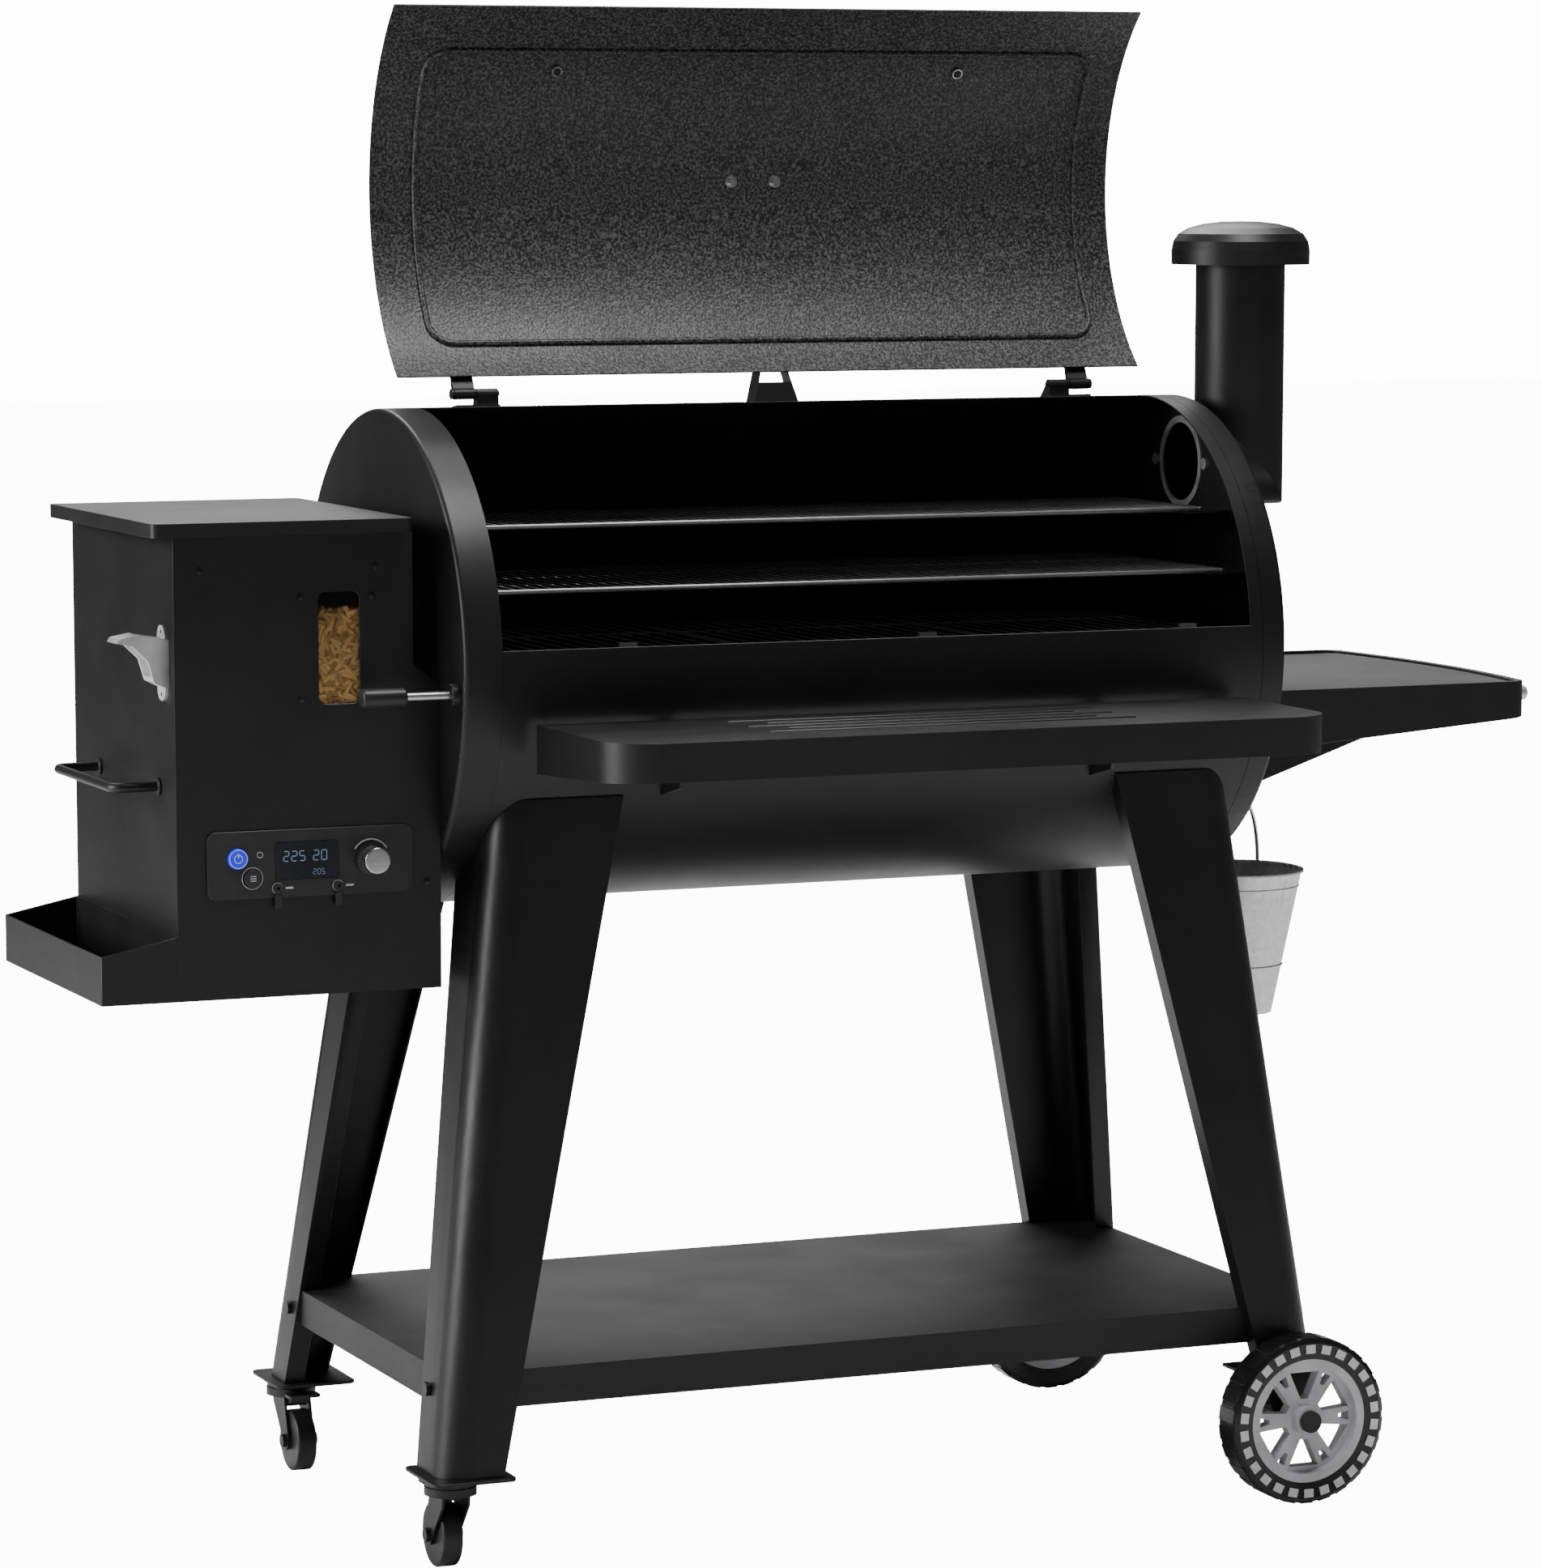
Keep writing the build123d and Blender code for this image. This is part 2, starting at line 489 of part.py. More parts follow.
front_shelf = shelf_body(0, SHELF_Z - APRON_BACK, SHELF_Z, SHELF_BACK)
front_shelf -= shelf_body(SHEET, SHELF_Z - APRON_BACK - 1, SHELF_Z - SHEET, SHELF_BACK + 1)
apron_cut = [
    (SHELF_BACK + 1, SHELF_Z - APRON_BACK), (SHELF_FRONT - 1, SHELF_Z - APRON_FRONT),
    (SHELF_FRONT - 1, SHELF_Z - 90), (SHELF_BACK + 1, SHELF_Z - 90),
]
front_shelf -= prism_x(apron_cut, shelf_x0 - 1, shelf_x1 + 1)
SHELF_PIN_R = 4.0
lugs = []
shelf_pins = []
shelf_brackets = []
for x in BRACKET_X:
    for side in (-1, 1):
        lug = [
            (SHELF_PIVOT_Y - 26, SHELF_Z - SHEET), (SHELF_PIVOT_Y + 10, SHELF_Z - SHEET),
            (SHELF_PIVOT_Y + 9, SHELF_PIVOT_Z - 5), (SHELF_PIVOT_Y, SHELF_PIVOT_Z - 9),
            (SHELF_PIVOT_Y - 9, SHELF_PIVOT_Z - 5),
        ]
        near = x + side * 4
        solid = prism_x(lug, *sorted((near, near + side * 3)))
        solid -= rod_x(x - 12, x + 12, SHELF_PIVOT_Y, SHELF_PIVOT_Z, SHELF_PIN_R)
        lugs.append(solid)
    pin = rod_x(x - 9, x + 9, SHELF_PIVOT_Y, SHELF_PIVOT_Z, SHELF_PIN_R)
    shelf_pins.append(pin)
    plate = [
        (SHELF_PIVOT_Y - 11, SHELF_PIVOT_Z + 8), (SHELF_PIVOT_Y - 7, SHELF_PIVOT_Z + 11),
        (-0.88 * BARREL_R, SHELF_PIVOT_Z + 11), (-0.74 * BARREL_R, SHELF_PIVOT_Z - 58),
        (-0.80 * BARREL_R, SHELF_PIVOT_Z - 62), (SHELF_PIVOT_Y + 4, SHELF_PIVOT_Z - 46),
        (SHELF_PIVOT_Y - 11, SHELF_PIVOT_Z - 14),
    ]
    bracket = prism_x(plate, x - 2.5, x + 2.5)
    bracket -= rod_x(x - 5, x + 5, 0, BARREL_Z, BARREL_R)
    bracket -= rod_x(x - 5, x + 5, SHELF_PIVOT_Y, SHELF_PIVOT_Z, SHELF_PIN_R + RUNNING_FIT)
    shelf_brackets.append(bracket)
save("front_shelf", front_shelf, *lugs, *shelf_pins)

# ---------------------------------------------------------------- side shelf, gussets, hooks
SIDE_BOW = 22.0
SIDE_RECESS = 4.0
side_half = SIDE_SHELF_WIDTH / 2
bow_r = (side_half ** 2 + SIDE_BOW ** 2) / (2 * SIDE_BOW)


def side_outline(inset, z0, z1):
    """Plan of the side shelf: straight sides and a bowed outer edge."""
    corner_x = HALF + SIDE_SHELF_REACH - SIDE_BOW - inset
    half = side_half - inset
    start_x = HALF + (0 if inset == 0 else inset)
    a = (start_x, -half, z0)
    b = (corner_x, -half, z0)
    c = (HALF + SIDE_SHELF_REACH - inset, 0, z0)
    d = (corner_x, half, z0)
    e = (start_x, half, z0)
    edges = [Line(a, b), ThreePointArc(b, c, d), Line(d, e), Line(e, a)]
    solid = extrude(make_face(edges), amount=z1 - z0, dir=(0, 0, 1))
    corners = solid.edges().filter_by(Axis.Z).sort_by(Axis.X)[-2:]
    return fillet(corners, 26 - inset)


side_shelf = side_outline(0, SHELF_Z - 72, SHELF_Z)
side_shelf -= side_outline(SHEET, SHELF_Z - 73, SHELF_Z - SIDE_RECESS - SHEET)
side_shelf -= side_outline(9, SHELF_Z - SIDE_RECESS, SHELF_Z + 1)
side_cut = [
    (HALF - 1, SHELF_Z - 71), (HALF + SIDE_SHELF_REACH + 1, SHELF_Z - 42),
    (HALF + SIDE_SHELF_REACH + 1, SHELF_Z - 90), (HALF - 1, SHELF_Z - 90),
]
side_shelf -= prism_y(side_cut, -side_half - 1, side_half + 1)
save("side_shelf", side_shelf)

gussets = []
for side in (-1, 1):
    y = side * 0.7 * BARREL_R
    under = SHELF_Z - SIDE_RECESS - SHEET
    shape = [
        (HALF + SHEET, under), (HALF + SHEET, SHELF_Z - 71), (HALF, SHELF_Z - 73),
        (HALF, SHELF_Z - 114), (HALF + 8, SHELF_Z - 114), (HALF + 170, SHELF_Z - 59),
        (HALF + 170, under),
    ]
    gussets.append(prism_y(shape, y - 1.5, y + 1.5))
save("shelf_brackets", *shelf_brackets, *gussets)

hooks = []
for y in (-0.714 * side_half, 0, 0.714 * side_half):
    edge_x = HALF + SIDE_SHELF_REACH - (bow_r - sqrt(bow_r ** 2 - y ** 2))
    stem = rod_x(edge_x, edge_x + 18, y, SHELF_Z - 21, 3.5)
    head = rod_x(edge_x + 18, edge_x + HOOK_OUT, y, SHELF_Z - 21, 9)
    head = fillet(head.edges().sort_by(Axis.X)[-1], 3)
    washer = rod_x(edge_x + 0.5, edge_x + 3, y, SHELF_Z - 21, 7)
    hooks.append(stem + head + washer)
hook_cut = side_outline(0, SHELF_Z - 60, SHELF_Z)
hooks = [hook - hook_cut for hook in hooks]
save("tool_hooks", *hooks)

# ---------------------------------------------------------------- hopper
WALL = 1.5
DECK_X = (HOPPER_LEFT + 22, HOPPER_STEP_X - 26)
DECK_Y = (HOPPER_FRONT + 24, HOPPER_BACK - 62)
WINDOW_X = (HOPPER_LEFT + 167.7, HOPPER_LEFT + 215.7)
WINDOW_Z = (HOPPER_TOP - 191.6, HOPPER_TOP - 66.6)
PANEL_X = (HOPPER_LEFT + 34.7, HOPPER_LEFT + 275.7)
PANEL_Z = (HOPPER_BASE + 112, HOPPER_BASE + 188)


def hopper_section(inset, top):
    return [
        (HOPPER_LEFT + inset, HOPPER_BASE + inset), (-HALF - inset, HOPPER_BASE + inset),
        (-HALF - inset, HOPPER_STEP_Z - 10), (HOPPER_STEP_X - inset, HOPPER_STEP_Z + 10),
        (HOPPER_STEP_X - inset, top), (HOPPER_LEFT + inset, top),
    ]


hopper = prism_y(hopper_section(0, HOPPER_TOP), HOPPER_FRONT, HOPPER_BACK)
hopper_inside = prism_y(
    hopper_section(WALL, HOPPER_TOP - WALL), HOPPER_FRONT + WALL, HOPPER_BACK - WALL
)
hopper -= hopper_inside
hopper -= slab_z(*DECK_X, *DECK_Y, HOPPER_TOP - 5, HOPPER_TOP + 5, 12)
hopper -= slab_y(*WINDOW_X, *WINDOW_Z, HOPPER_FRONT - 5, HOPPER_FRONT + 5, 8)
hopper -= block(
    PANEL_X[0] + 8, PANEL_X[1] - 8, HOPPER_FRONT - 5, HOPPER_FRONT + 5, PANEL_Z[0] + 8, PANEL_Z[1] - 8
)
hopper -= rod_x(-HALF - 3, -HALF + 3, 0, AUGER_Z, AUGER_TUBE_OUT)
hopper -= rod_x(-HALF - 3, -HALF + 3, AIR_PIPE_Y, AUGER_Z, AIR_PIPE_R)
save("hopper_body", hopper)

CHUTE_TOP = AUGER_Z + 145
CHUTE_LOW = AUGER_Z + AUGER_TUBE_OUT
INTAKE_X = (-HALF - 190, -HALF - 110)
INTAKE_Y = 24.0


def chute_cone(inset, z_low, z_top):
    """Square funnel from the hopper walls down to the auger intake."""
    x0 = HOPPER_LEFT + WALL + inset
    x1 = -HALF - WALL - inset
    y0 = HOPPER_FRONT + WALL + inset
    y1 = HOPPER_BACK - WALL - inset
    top = Plane((0, 0, z_top)) * Pos((x0 + x1) / 2, (y0 + y1) / 2) * Rectangle(x1 - x0, y1 - y0)
    u0, u1 = INTAKE_X[0] + inset, INTAKE_X[1] - inset
    low = Plane((0, 0, z_low)) * Pos((u0 + u1) / 2, 0) * Rectangle(
        u1 - u0, 2 * (INTAKE_Y - inset)
    )
    return loft([low, top], ruled=True)


chute = chute_cone(0, CHUTE_LOW, CHUTE_TOP) - chute_cone(2, CHUTE_LOW - 0.01, CHUTE_TOP + 0.01)
save("pellet_chute", chute)

PELLET_Z = HOPPER_TOP - 85.6
pellets = chute_cone(3, CHUTE_LOW + 2, CHUTE_TOP)
pellet_block = prism_y(
    hopper_section(WALL + 0.5, PELLET_Z), HOPPER_FRONT + WALL + 2.5, HOPPER_BACK - WALL - 0.5
)
pellet_block &= block(HOPPER_LEFT, -HALF, HOPPER_FRONT, HOPPER_BACK, CHUTE_TOP, PELLET_Z)
save("pellet_load", pellets + pellet_block)

window = slab_y(
    WINDOW_X[0] - 6, WINDOW_X[1] + 6, WINDOW_Z[0] - 6, WINDOW_Z[1] + 6,
    HOPPER_FRONT + WALL, HOPPER_FRONT + WALL + 2, 8,
)
save("hopper_window", window)

HOPPER_HINGE_Y = HOPPER_BACK - 8.6
HOPPER_HINGE_Z = HOPPER_TOP + 7.0
HOPPER_PIN_R = 2.5
HLID_LEFT = HOPPER_LEFT - 32.8
HLID_RIGHT = HOPPER_STEP_X - 9.5
HLID_FRONT = HOPPER_FRONT - 32.7
HLID_BACK = HOPPER_BACK - 16.7
HLID_TOP = HOPPER_TOP + 15.5
hopper_lid = slab_z(HLID_LEFT, HLID_RIGHT, HLID_FRONT, HLID_BACK, HOPPER_TOP, HLID_TOP, 9)
hopper_lid -= slab_z(
    HLID_LEFT + WALL, HLID_RIGHT - WALL, HLID_FRONT + WALL, HLID_BACK - WALL,
    HOPPER_TOP - 1, HLID_TOP - WALL, 7.5,
)
hlid_mid = (HOPPER_LEFT + HOPPER_STEP_X) / 2
hinge_parts = []
for x in (hlid_mid - 90, hlid_mid + 90):
    tongue = block(x - 14, x + 14, HLID_BACK - 0.01, HOPPER_HINGE_Y, HOPPER_HINGE_Z, HOPPER_HINGE_Z + 3)
    tongue += block(x - 14, x + 14, HLID_BACK - 0.01, HLID_BACK + 1.5, HOPPER_TOP + 2, HOPPER_HINGE_Z + 3)
    tongue += rod_x(x - 14, x + 14, HOPPER_HINGE_Y, HOPPER_HINGE_Z, HOPPER_PIN_R + 2)
    hopper_lid += tongue
    hopper_lid -= rod_x(x - 20, x + 20, HOPPER_HINGE_Y, HOPPER_HINGE_Z, HOPPER_PIN_R + RUNNING_FIT)
    for side in (-1, 1):
        inner = x + side * 14.5
        outer = x + side * 27
        span = sorted((inner, outer))
        foot = block(*span, HOPPER_HINGE_Y - 4, HOPPER_BACK - 1, HOPPER_TOP, HOPPER_TOP + 2)
        foot += block(*span, HOPPER_HINGE_Y - 2.5, HOPPER_HINGE_Y + 2.5, HOPPER_TOP, HOPPER_HINGE_Z)
        foot += rod_x(*span, HOPPER_HINGE_Y, HOPPER_HINGE_Z, HOPPER_PIN_R + 2)
        foot -= rod_x(x - 40, x + 40, HOPPER_HINGE_Y, HOPPER_HINGE_Z, HOPPER_PIN_R)
        hinge_parts.append(foot)
    hinge_parts.append(rod_x(x - 27.5, x + 27.5, HOPPER_HINGE_Y, HOPPER_HINGE_Z, HOPPER_PIN_R))
save("hopper_lid", hopper_lid)
save("hopper_hinge", *hinge_parts)

# ---------------------------------------------------------------- hopper outside
TRAY_RISE = 55.0
tray_outer = [
    (TRAY_LEFT, HOPPER_BASE), (HOPPER_LEFT, HOPPER_BASE),
    (HOPPER_LEFT, HOPPER_BASE + TRAY_RISE + 18), (TRAY_LEFT, HOPPER_BASE + TRAY_RISE),
]
side_tray = prism_y(tray_outer, HOPPER_FRONT, HOPPER_BACK)
side_tray -= block(
    TRAY_LEFT + WALL, HOPPER_LEFT - WALL, HOPPER_FRONT + WALL, HOPPER_BACK - WALL,
    HOPPER_BASE + WALL, HOPPER_BASE + 100,
)
save("side_tray", side_tray)

PULL_Y = (HOPPER_FRONT + 62, HOPPER_BACK - 101.6)
PULL_Z = HOPPER_BASE + 235
PULL_X = HOPPER_LEFT - 52.3
PULL_R = 5.5
pull_path = FilletPolyline(
    (HOPPER_LEFT, PULL_Y[0], PULL_Z), (PULL_X, PULL_Y[0], PULL_Z),
    (PULL_X, PULL_Y[1], PULL_Z), (HOPPER_LEFT, PULL_Y[1], PULL_Z), radius=14,
)
pull_start = Plane(origin=(HOPPER_LEFT, PULL_Y[0], PULL_Z), z_dir=(-1, 0, 0))
pull = sweep(pull_start * Circle(PULL_R), path=pull_path)
for y in PULL_Y:
    pull += rod_x(HOPPER_LEFT - 3, HOPPER_LEFT, y, PULL_Z, 10)
save("side_handle", pull)

OPENER_Y = HOPPER_FRONT + 38.5
OPENER_Z = HOPPER_TOP - 142.5
opener = Pos(HOPPER_LEFT - 3, OPENER_Y, OPENER_Z) * Rot(0, 90, 0) * extrude(
    RectangleRounded(84, 30, 14), amount=3
)
nose = [
    (HOPPER_LEFT, OPENER_Z + 27), (HOPPER_LEFT - 34, OPENER_Z + 33),
    (HOPPER_LEFT - 56, OPENER_Z + 29), (HOPPER_LEFT - 59, OPENER_Z + 24),
    (HOPPER_LEFT - 42, OPENER_Z + 21), (HOPPER_LEFT - 24, OPENER_Z + 4),
    (HOPPER_LEFT - 17, OPENER_Z - 20), (HOPPER_LEFT - 3, OPENER_Z - 27), (HOPPER_LEFT, OPENER_Z - 27),
]
nose_body = prism_y(nose, OPENER_Y - 20, OPENER_Y + 20)
mouth = [
    (HOPPER_LEFT - 60, OPENER_Z + 18), (HOPPER_LEFT - 30, OPENER_Z + 22),
    (HOPPER_LEFT - 12, OPENER_Z + 8), (HOPPER_LEFT - 12, OPENER_Z - 12), (HOPPER_LEFT - 60, OPENER_Z - 30),
]
nose_body -= prism_y(mouth, OPENER_Y - 15, OPENER_Y + 15)
opener += nose_body
for dz in (-35, 35):
    opener -= rod_x(HOPPER_LEFT - 4, HOPPER_LEFT + 1, OPENER_Y, OPENER_Z + dz, 2.5)
save("bottle_opener", opener)

# ---------------------------------------------------------------- control panel
PANEL_FACE = HOPPER_FRONT - 3
POWER_X = PANEL_X[0] + 35
POWER_Z = PANEL_Z[1] - 30.4
MODE_X = PANEL_X[0] + 52
MODE_Z = PANEL_Z[0] + 23
KNOB_X = PANEL_X[1] - 50
KNOB_Z = PANEL_Z[1] - 37
DISPLAY_X = (PANEL_X[0] + 79, PANEL_X[0] + 153)
DISPLAY_Z = (PANEL_Z[0] + 20, PANEL_Z[1] - 14)
POWER_R = 11.5
MODE_R = 10.3
KNOB_SHAFT_R = 3.0
BUTTON_TRAVEL = 1.5
panel = slab_y(*PANEL_X, *PANEL_Z, PANEL_FACE, HOPPER_FRONT, 10)
panel += block(
    PANEL_X[0] + 8, PANEL_X[1] - 8, HOPPER_FRONT, HOPPER_FRONT + 48, PANEL_Z[0] + 8, PANEL_Z[1] - 8
)
panel -= rod_y(PANEL_FACE - 1, PANEL_FACE + 16, POWER_X, POWER_Z, POWER_R + 0.4)
panel -= rod_y(PANEL_FACE - 1, PANEL_FACE + 16, MODE_X, MODE_Z, MODE_R + 0.4)
panel -= rod_y(PANEL_FACE - 1, PANEL_FACE + 16, KNOB_X, KNOB_Z, KNOB_SHAFT_R + RUNNING_FIT)
panel -= slab_y(*DISPLAY_X, *DISPLAY_Z, PANEL_FACE - 1, PANEL_FACE + 1, 3)
save("control_panel", panel)
save("panel_display", slab_y(*DISPLAY_X, *DISPLAY_Z, PANEL_FACE - 0.4, PANEL_FACE + 1, 3))
power = rod_y(PANEL_FACE - 3.5, PANEL_FACE + 13, POWER_X, POWER_Z, POWER_R)
save("power_button", fillet(power.edges().sort_by(Axis.Y)[0], 1.2))
mode = rod_y(PANEL_FACE - 3.5, PANEL_FACE + 13, MODE_X, MODE_Z, MODE_R)
save("mode_button", fillet(mode.edges().sort_by(Axis.Y)[0], 1.2))
knob = rod_y(PANEL_FACE - 26, PANEL_FACE - 0.5, KNOB_X, KNOB_Z, 15)
knob = fillet(knob.edges().sort_by(Axis.Y)[0], 2)
knob += rod_y(PANEL_FACE - 4, PANEL_FACE - 0.5, KNOB_X, KNOB_Z, 18)
knob += rod_y(PANEL_FACE - 0.5, PANEL_FACE + 12, KNOB_X, KNOB_Z, KNOB_SHAFT_R)
save("control_knob", knob)
jacks = []
for x in (DISPLAY_X[0] + 2, DISPLAY_X[1] - 1):
    z = PANEL_Z[0] + 10.6
    ring = rod_y(PANEL_FACE - 4, PANEL_FACE, x, z, 5.5)
    ring -= rod_y(PANEL_FACE - 5, PANEL_FACE - 1, x, z, 2)
    tag = block(x - 4, x + 4, PANEL_FACE - 3, PANEL_FACE - 1.2, z - 22, z - 7)
    tag += block(x - 1.5, x + 1.5, PANEL_FACE - 3, PANEL_FACE - 1.2, z - 8, z - 5)
    jacks.append(ring + tag)
save("probe_jacks", *jacks)

# ---------------------------------------------------------------- auger, fan, fire pot
TUBE_START = -HALF - 215
POT_HALF_X = 75.0
POT_HALF_Y = 78.0
SHAFT_R = 8.0
auger_tube = rod_x(TUBE_START, POT_X - POT_HALF_X, 0, AUGER_Z, AUGER_TUBE_OUT)
auger_tube -= rod_x(TUBE_START - 1, POT_X, 0, AUGER_Z, AUGER_TUBE_R)
auger_tube -= block(
    INTAKE_X[0] + 2, INTAKE_X[1] - 2, 2 - INTAKE_Y, INTAKE_Y - 2, AUGER_Z + 5, AUGER_Z + 60
)
collar_span = (INTAKE_X[0], INTAKE_X[1], -INTAKE_Y, INTAKE_Y)
collar = block(*collar_span, AUGER_Z + 12, CHUTE_LOW)
collar -= block(
    INTAKE_X[0] + 2, INTAKE_X[1] - 2, 2 - INTAKE_Y, INTAKE_Y - 2, AUGER_Z, CHUTE_LOW + 1
)
collar -= rod_x(INTAKE_X[0] - 1, INTAKE_X[1] + 1, 0, AUGER_Z, AUGER_TUBE_OUT - 1)
AIR_START = -HALF - 40
air_pipe = rod_x(AIR_START, POT_X - POT_HALF_X, AIR_PIPE_Y, AUGER_Z, AIR_PIPE_R)
air_pipe -= rod_x(AIR_START - 1, POT_X, AIR_PIPE_Y, AUGER_Z, AIR_PIPE_R - 1.5)
save("auger_tube", auger_tube + collar, air_pipe)

gearbox = block(TUBE_START - 35, TUBE_START, -34, 34, AUGER_Z - 34, AUGER_Z + 34)
gearbox += rod_x(TUBE_START - 85, TUBE_START - 35, 0, AUGER_Z, 27)
gearbox -= rod_x(TUBE_START - 12, TUBE_START + 1, 0, AUGER_Z, SHAFT_R + RUNNING_FIT)
save("auger_motor", gearbox)

FLIGHT_PITCH = 45.0
flight_start = TUBE_START + 12
flight_length = POT_X - POT_HALF_X - 4 - flight_start
helix = Helix(pitch=FLIGHT_PITCH, height=flight_length, radius=SHAFT_R, direction=(1, 0, 0))
helix = Pos(flight_start, 0, AUGER_Z) * helix
shaft = rod_x(TUBE_START - 10, POT_X - POT_HALF_X - 2, 0, AUGER_Z, SHAFT_R)
blade_plane = Plane(origin=helix @ 0, x_dir=(helix @ 0) - Vector(flight_start, 0, AUGER_Z), z_dir=helix % 0)
blade_profile = blade_plane * Pos((AUGER_R - SHAFT_R) / 2 - 0.5, 0) * Rectangle(AUGER_R - SHAFT_R + 1, 2.5)
flight = sweep(blade_profile, path=helix, is_frenet=True)
save("auger", shaft + flight)

FAN_Y = 95.0
FAN_Z = AUGER_Z - 25
FAN_R = 64.0
FAN_X = (-HALF - 90, -HALF - 40)
fan_housing = rod_x(*FAN_X, FAN_Y, FAN_Z, FAN_R)
fan_housing -= rod_x(FAN_X[0] + 1.5, FAN_X[1] - 1.5, FAN_Y, FAN_Z, FAN_R - 1.5)
fan_housing -= rod_x(FAN_X[1] - 3, FAN_X[1] + 1, AIR_PIPE_Y, AUGER_Z, AIR_PIPE_R - 1.5)
fan_motor = rod_x(FAN_X[0] - 40, FAN_X[0], FAN_Y, FAN_Z, 30)
fan_motor += rod_x(FAN_X[0], FAN_X[1] - 10, FAN_Y, FAN_Z, 4)
fan_housing -= rod_x(FAN_X[0] - 1, FAN_X[0] + 2, FAN_Y, FAN_Z, 4)
save("fan_housing", fan_housing, fan_motor)
fan_wheel = rod_x(FAN_X[0] + 6, FAN_X[1] - 11, FAN_Y, FAN_Z, 10)
fan_wheel += rod_x(FAN_X[0] + 6, FAN_X[0] + 8, FAN_Y, FAN_Z, 52)
blade = block(FAN_X[0] + 8, FAN_X[1] - 12, 30, 52, -0.75, 0.75)
for i in range(12):
    fan_wheel += Pos(0, FAN_Y, FAN_Z) * Rot(i * 30, 0, 0) * blade
fan_wheel -= rod_x(FAN_X[0], FAN_X[1], FAN_Y, FAN_Z, 4 + RUNNING_FIT)
save("fan_wheel", fan_wheel)

fire_pot = block(
    POT_X - POT_HALF_X, POT_X + POT_HALF_X, -POT_HALF_Y, POT_HALF_Y, AUGER_Z - 45, AUGER_Z + 52
)
fire_pot -= block(
    POT_X - POT_HALF_X + 2, POT_X + POT_HALF_X - 2, 2 - POT_HALF_Y, POT_HALF_Y - 2,
    AUGER_Z - 43, AUGER_Z + 60,
)
fire_pot -= rod_x(POT_X - POT_HALF_X - 1, POT_X - 60, 0, AUGER_Z, AUGER_TUBE_R)
fire_pot -= rod_x(POT_X - POT_HALF_X - 1, POT_X - 60, AIR_PIPE_Y, AUGER_Z, AIR_PIPE_R - 1.5)
cup = rod_z(AUGER_Z - 43, AUGER_Z + 40, POT_X + 20, 0, 48) - rod_z(
    AUGER_Z - 40, AUGER_Z + 41, POT_X + 20, 0, 46
)
cup -= rod_x(POT_X - 40, POT_X + 15, 0, AUGER_Z, AUGER_R)
for i in range(8):
    cup -= Pos(POT_X + 20, 0, AUGER_Z - 22) * Rot(0, 0, i * 45) * rod_x(30, 60, 0, 0, 4)
igniter = rod_y(-POT_HALF_Y + 2, -50, POT_X + 20, AUGER_Z - 30, 4)

SHIELD_HALF_X = 190.0
SHIELD_Y = 0.43 * BARREL_R
SHIELD_Z = AUGER_Z + 82
inside_barrel = rod_x(-HALF, HALF, 0, BARREL_Z, BARREL_R - SHEET)
shield = prism_x(
    [
        (-SHIELD_Y, SHIELD_Z), (0, SHIELD_Z + 24), (SHIELD_Y, SHIELD_Z), (SHIELD_Y, BARREL_Z - 2 * BARREL_R),
        (SHIELD_Y - 3, BARREL_Z - 2 * BARREL_R), (SHIELD_Y - 3, SHIELD_Z - 2.4), (0, SHIELD_Z + 21),
        (3 - SHIELD_Y, SHIELD_Z - 2.4), (3 - SHIELD_Y, BARREL_Z - 2 * BARREL_R),
        (-SHIELD_Y, BARREL_Z - 2 * BARREL_R),
    ],
    POT_X - SHIELD_HALF_X, POT_X + SHIELD_HALF_X,
)
shield &= inside_barrel
for x in (POT_X - 100, POT_X + 100):
    for side in (-1, 1):
        shield -= block(
            x - 70, x + 70, side * SHIELD_Y - 5, side * SHIELD_Y + 5,
            BARREL_Z - BARREL_R, SHIELD_Z - 30,
        ) & rod_x(x - 70, x + 70, 0, BARREL_Z, BARREL_R - 14)
save("fire_pot", fire_pot, cup, igniter, shield)

# ---------------------------------------------------------------- drip tray, broiler, lever
TRAY_Y = 0.80 * BARREL_R
tray_x0 = SHELL_LEFT + 22
tray_x1 = HALF - SHEET - 2
drip_tray = block(tray_x0, tray_x1, -TRAY_Y, TRAY_Y, DRIP_Z - SHEET, DRIP_Z)
drip_tray += block(tray_x0, tray_x1, -TRAY_Y, SHEET - TRAY_Y, DRIP_Z, DRIP_Z + 7)
drip_tray += block(tray_x0, tray_x1, TRAY_Y - SHEET, TRAY_Y, DRIP_Z, DRIP_Z + 7)
drip_tray += block(tray_x0, tray_x0 + SHEET, -TRAY_Y, TRAY_Y, DRIP_Z, DRIP_Z + 7)
drip_tray -= block(POT_X - 80, POT_X + 80, -80, 80, DRIP_Z - 5, DRIP_Z + 5)
shaft_x0 = HALF - SHEET - 34
drip_tray -= block(shaft_x0 + 2, tray_x1 - 2, -22, 22, DRIP_Z - 5, DRIP_Z + 5)
downspout = block(shaft_x0, HALF - SHEET, -24, 24, SPOUT_Z - 18, DRIP_Z - SHEET)
downspout -= block(shaft_x0 + 2, HALF - SHEET - 2, -22, 22, SPOUT_Z - 16, DRIP_Z)
downspout -= rod_x(HALF - SHEET - 3, HALF, 0, SPOUT_Z, SPOUT_R)
spout = rod_x(HALF - SHEET - 2, HALF + 58, 0, SPOUT_Z, SPOUT_R)
HOOK_R = 3.0
hook = rod_x(HALF + 24, HALF + 102, 0, HOOK_Z, HOOK_R)
hook += rod_x(HALF + 100, HALF + 104, 0, HOOK_Z, 6)
spout += hook
spout -= rod_x(HALF - SHEET - 3, HALF + 60, 0, SPOUT_Z, SPOUT_R - 1.5)
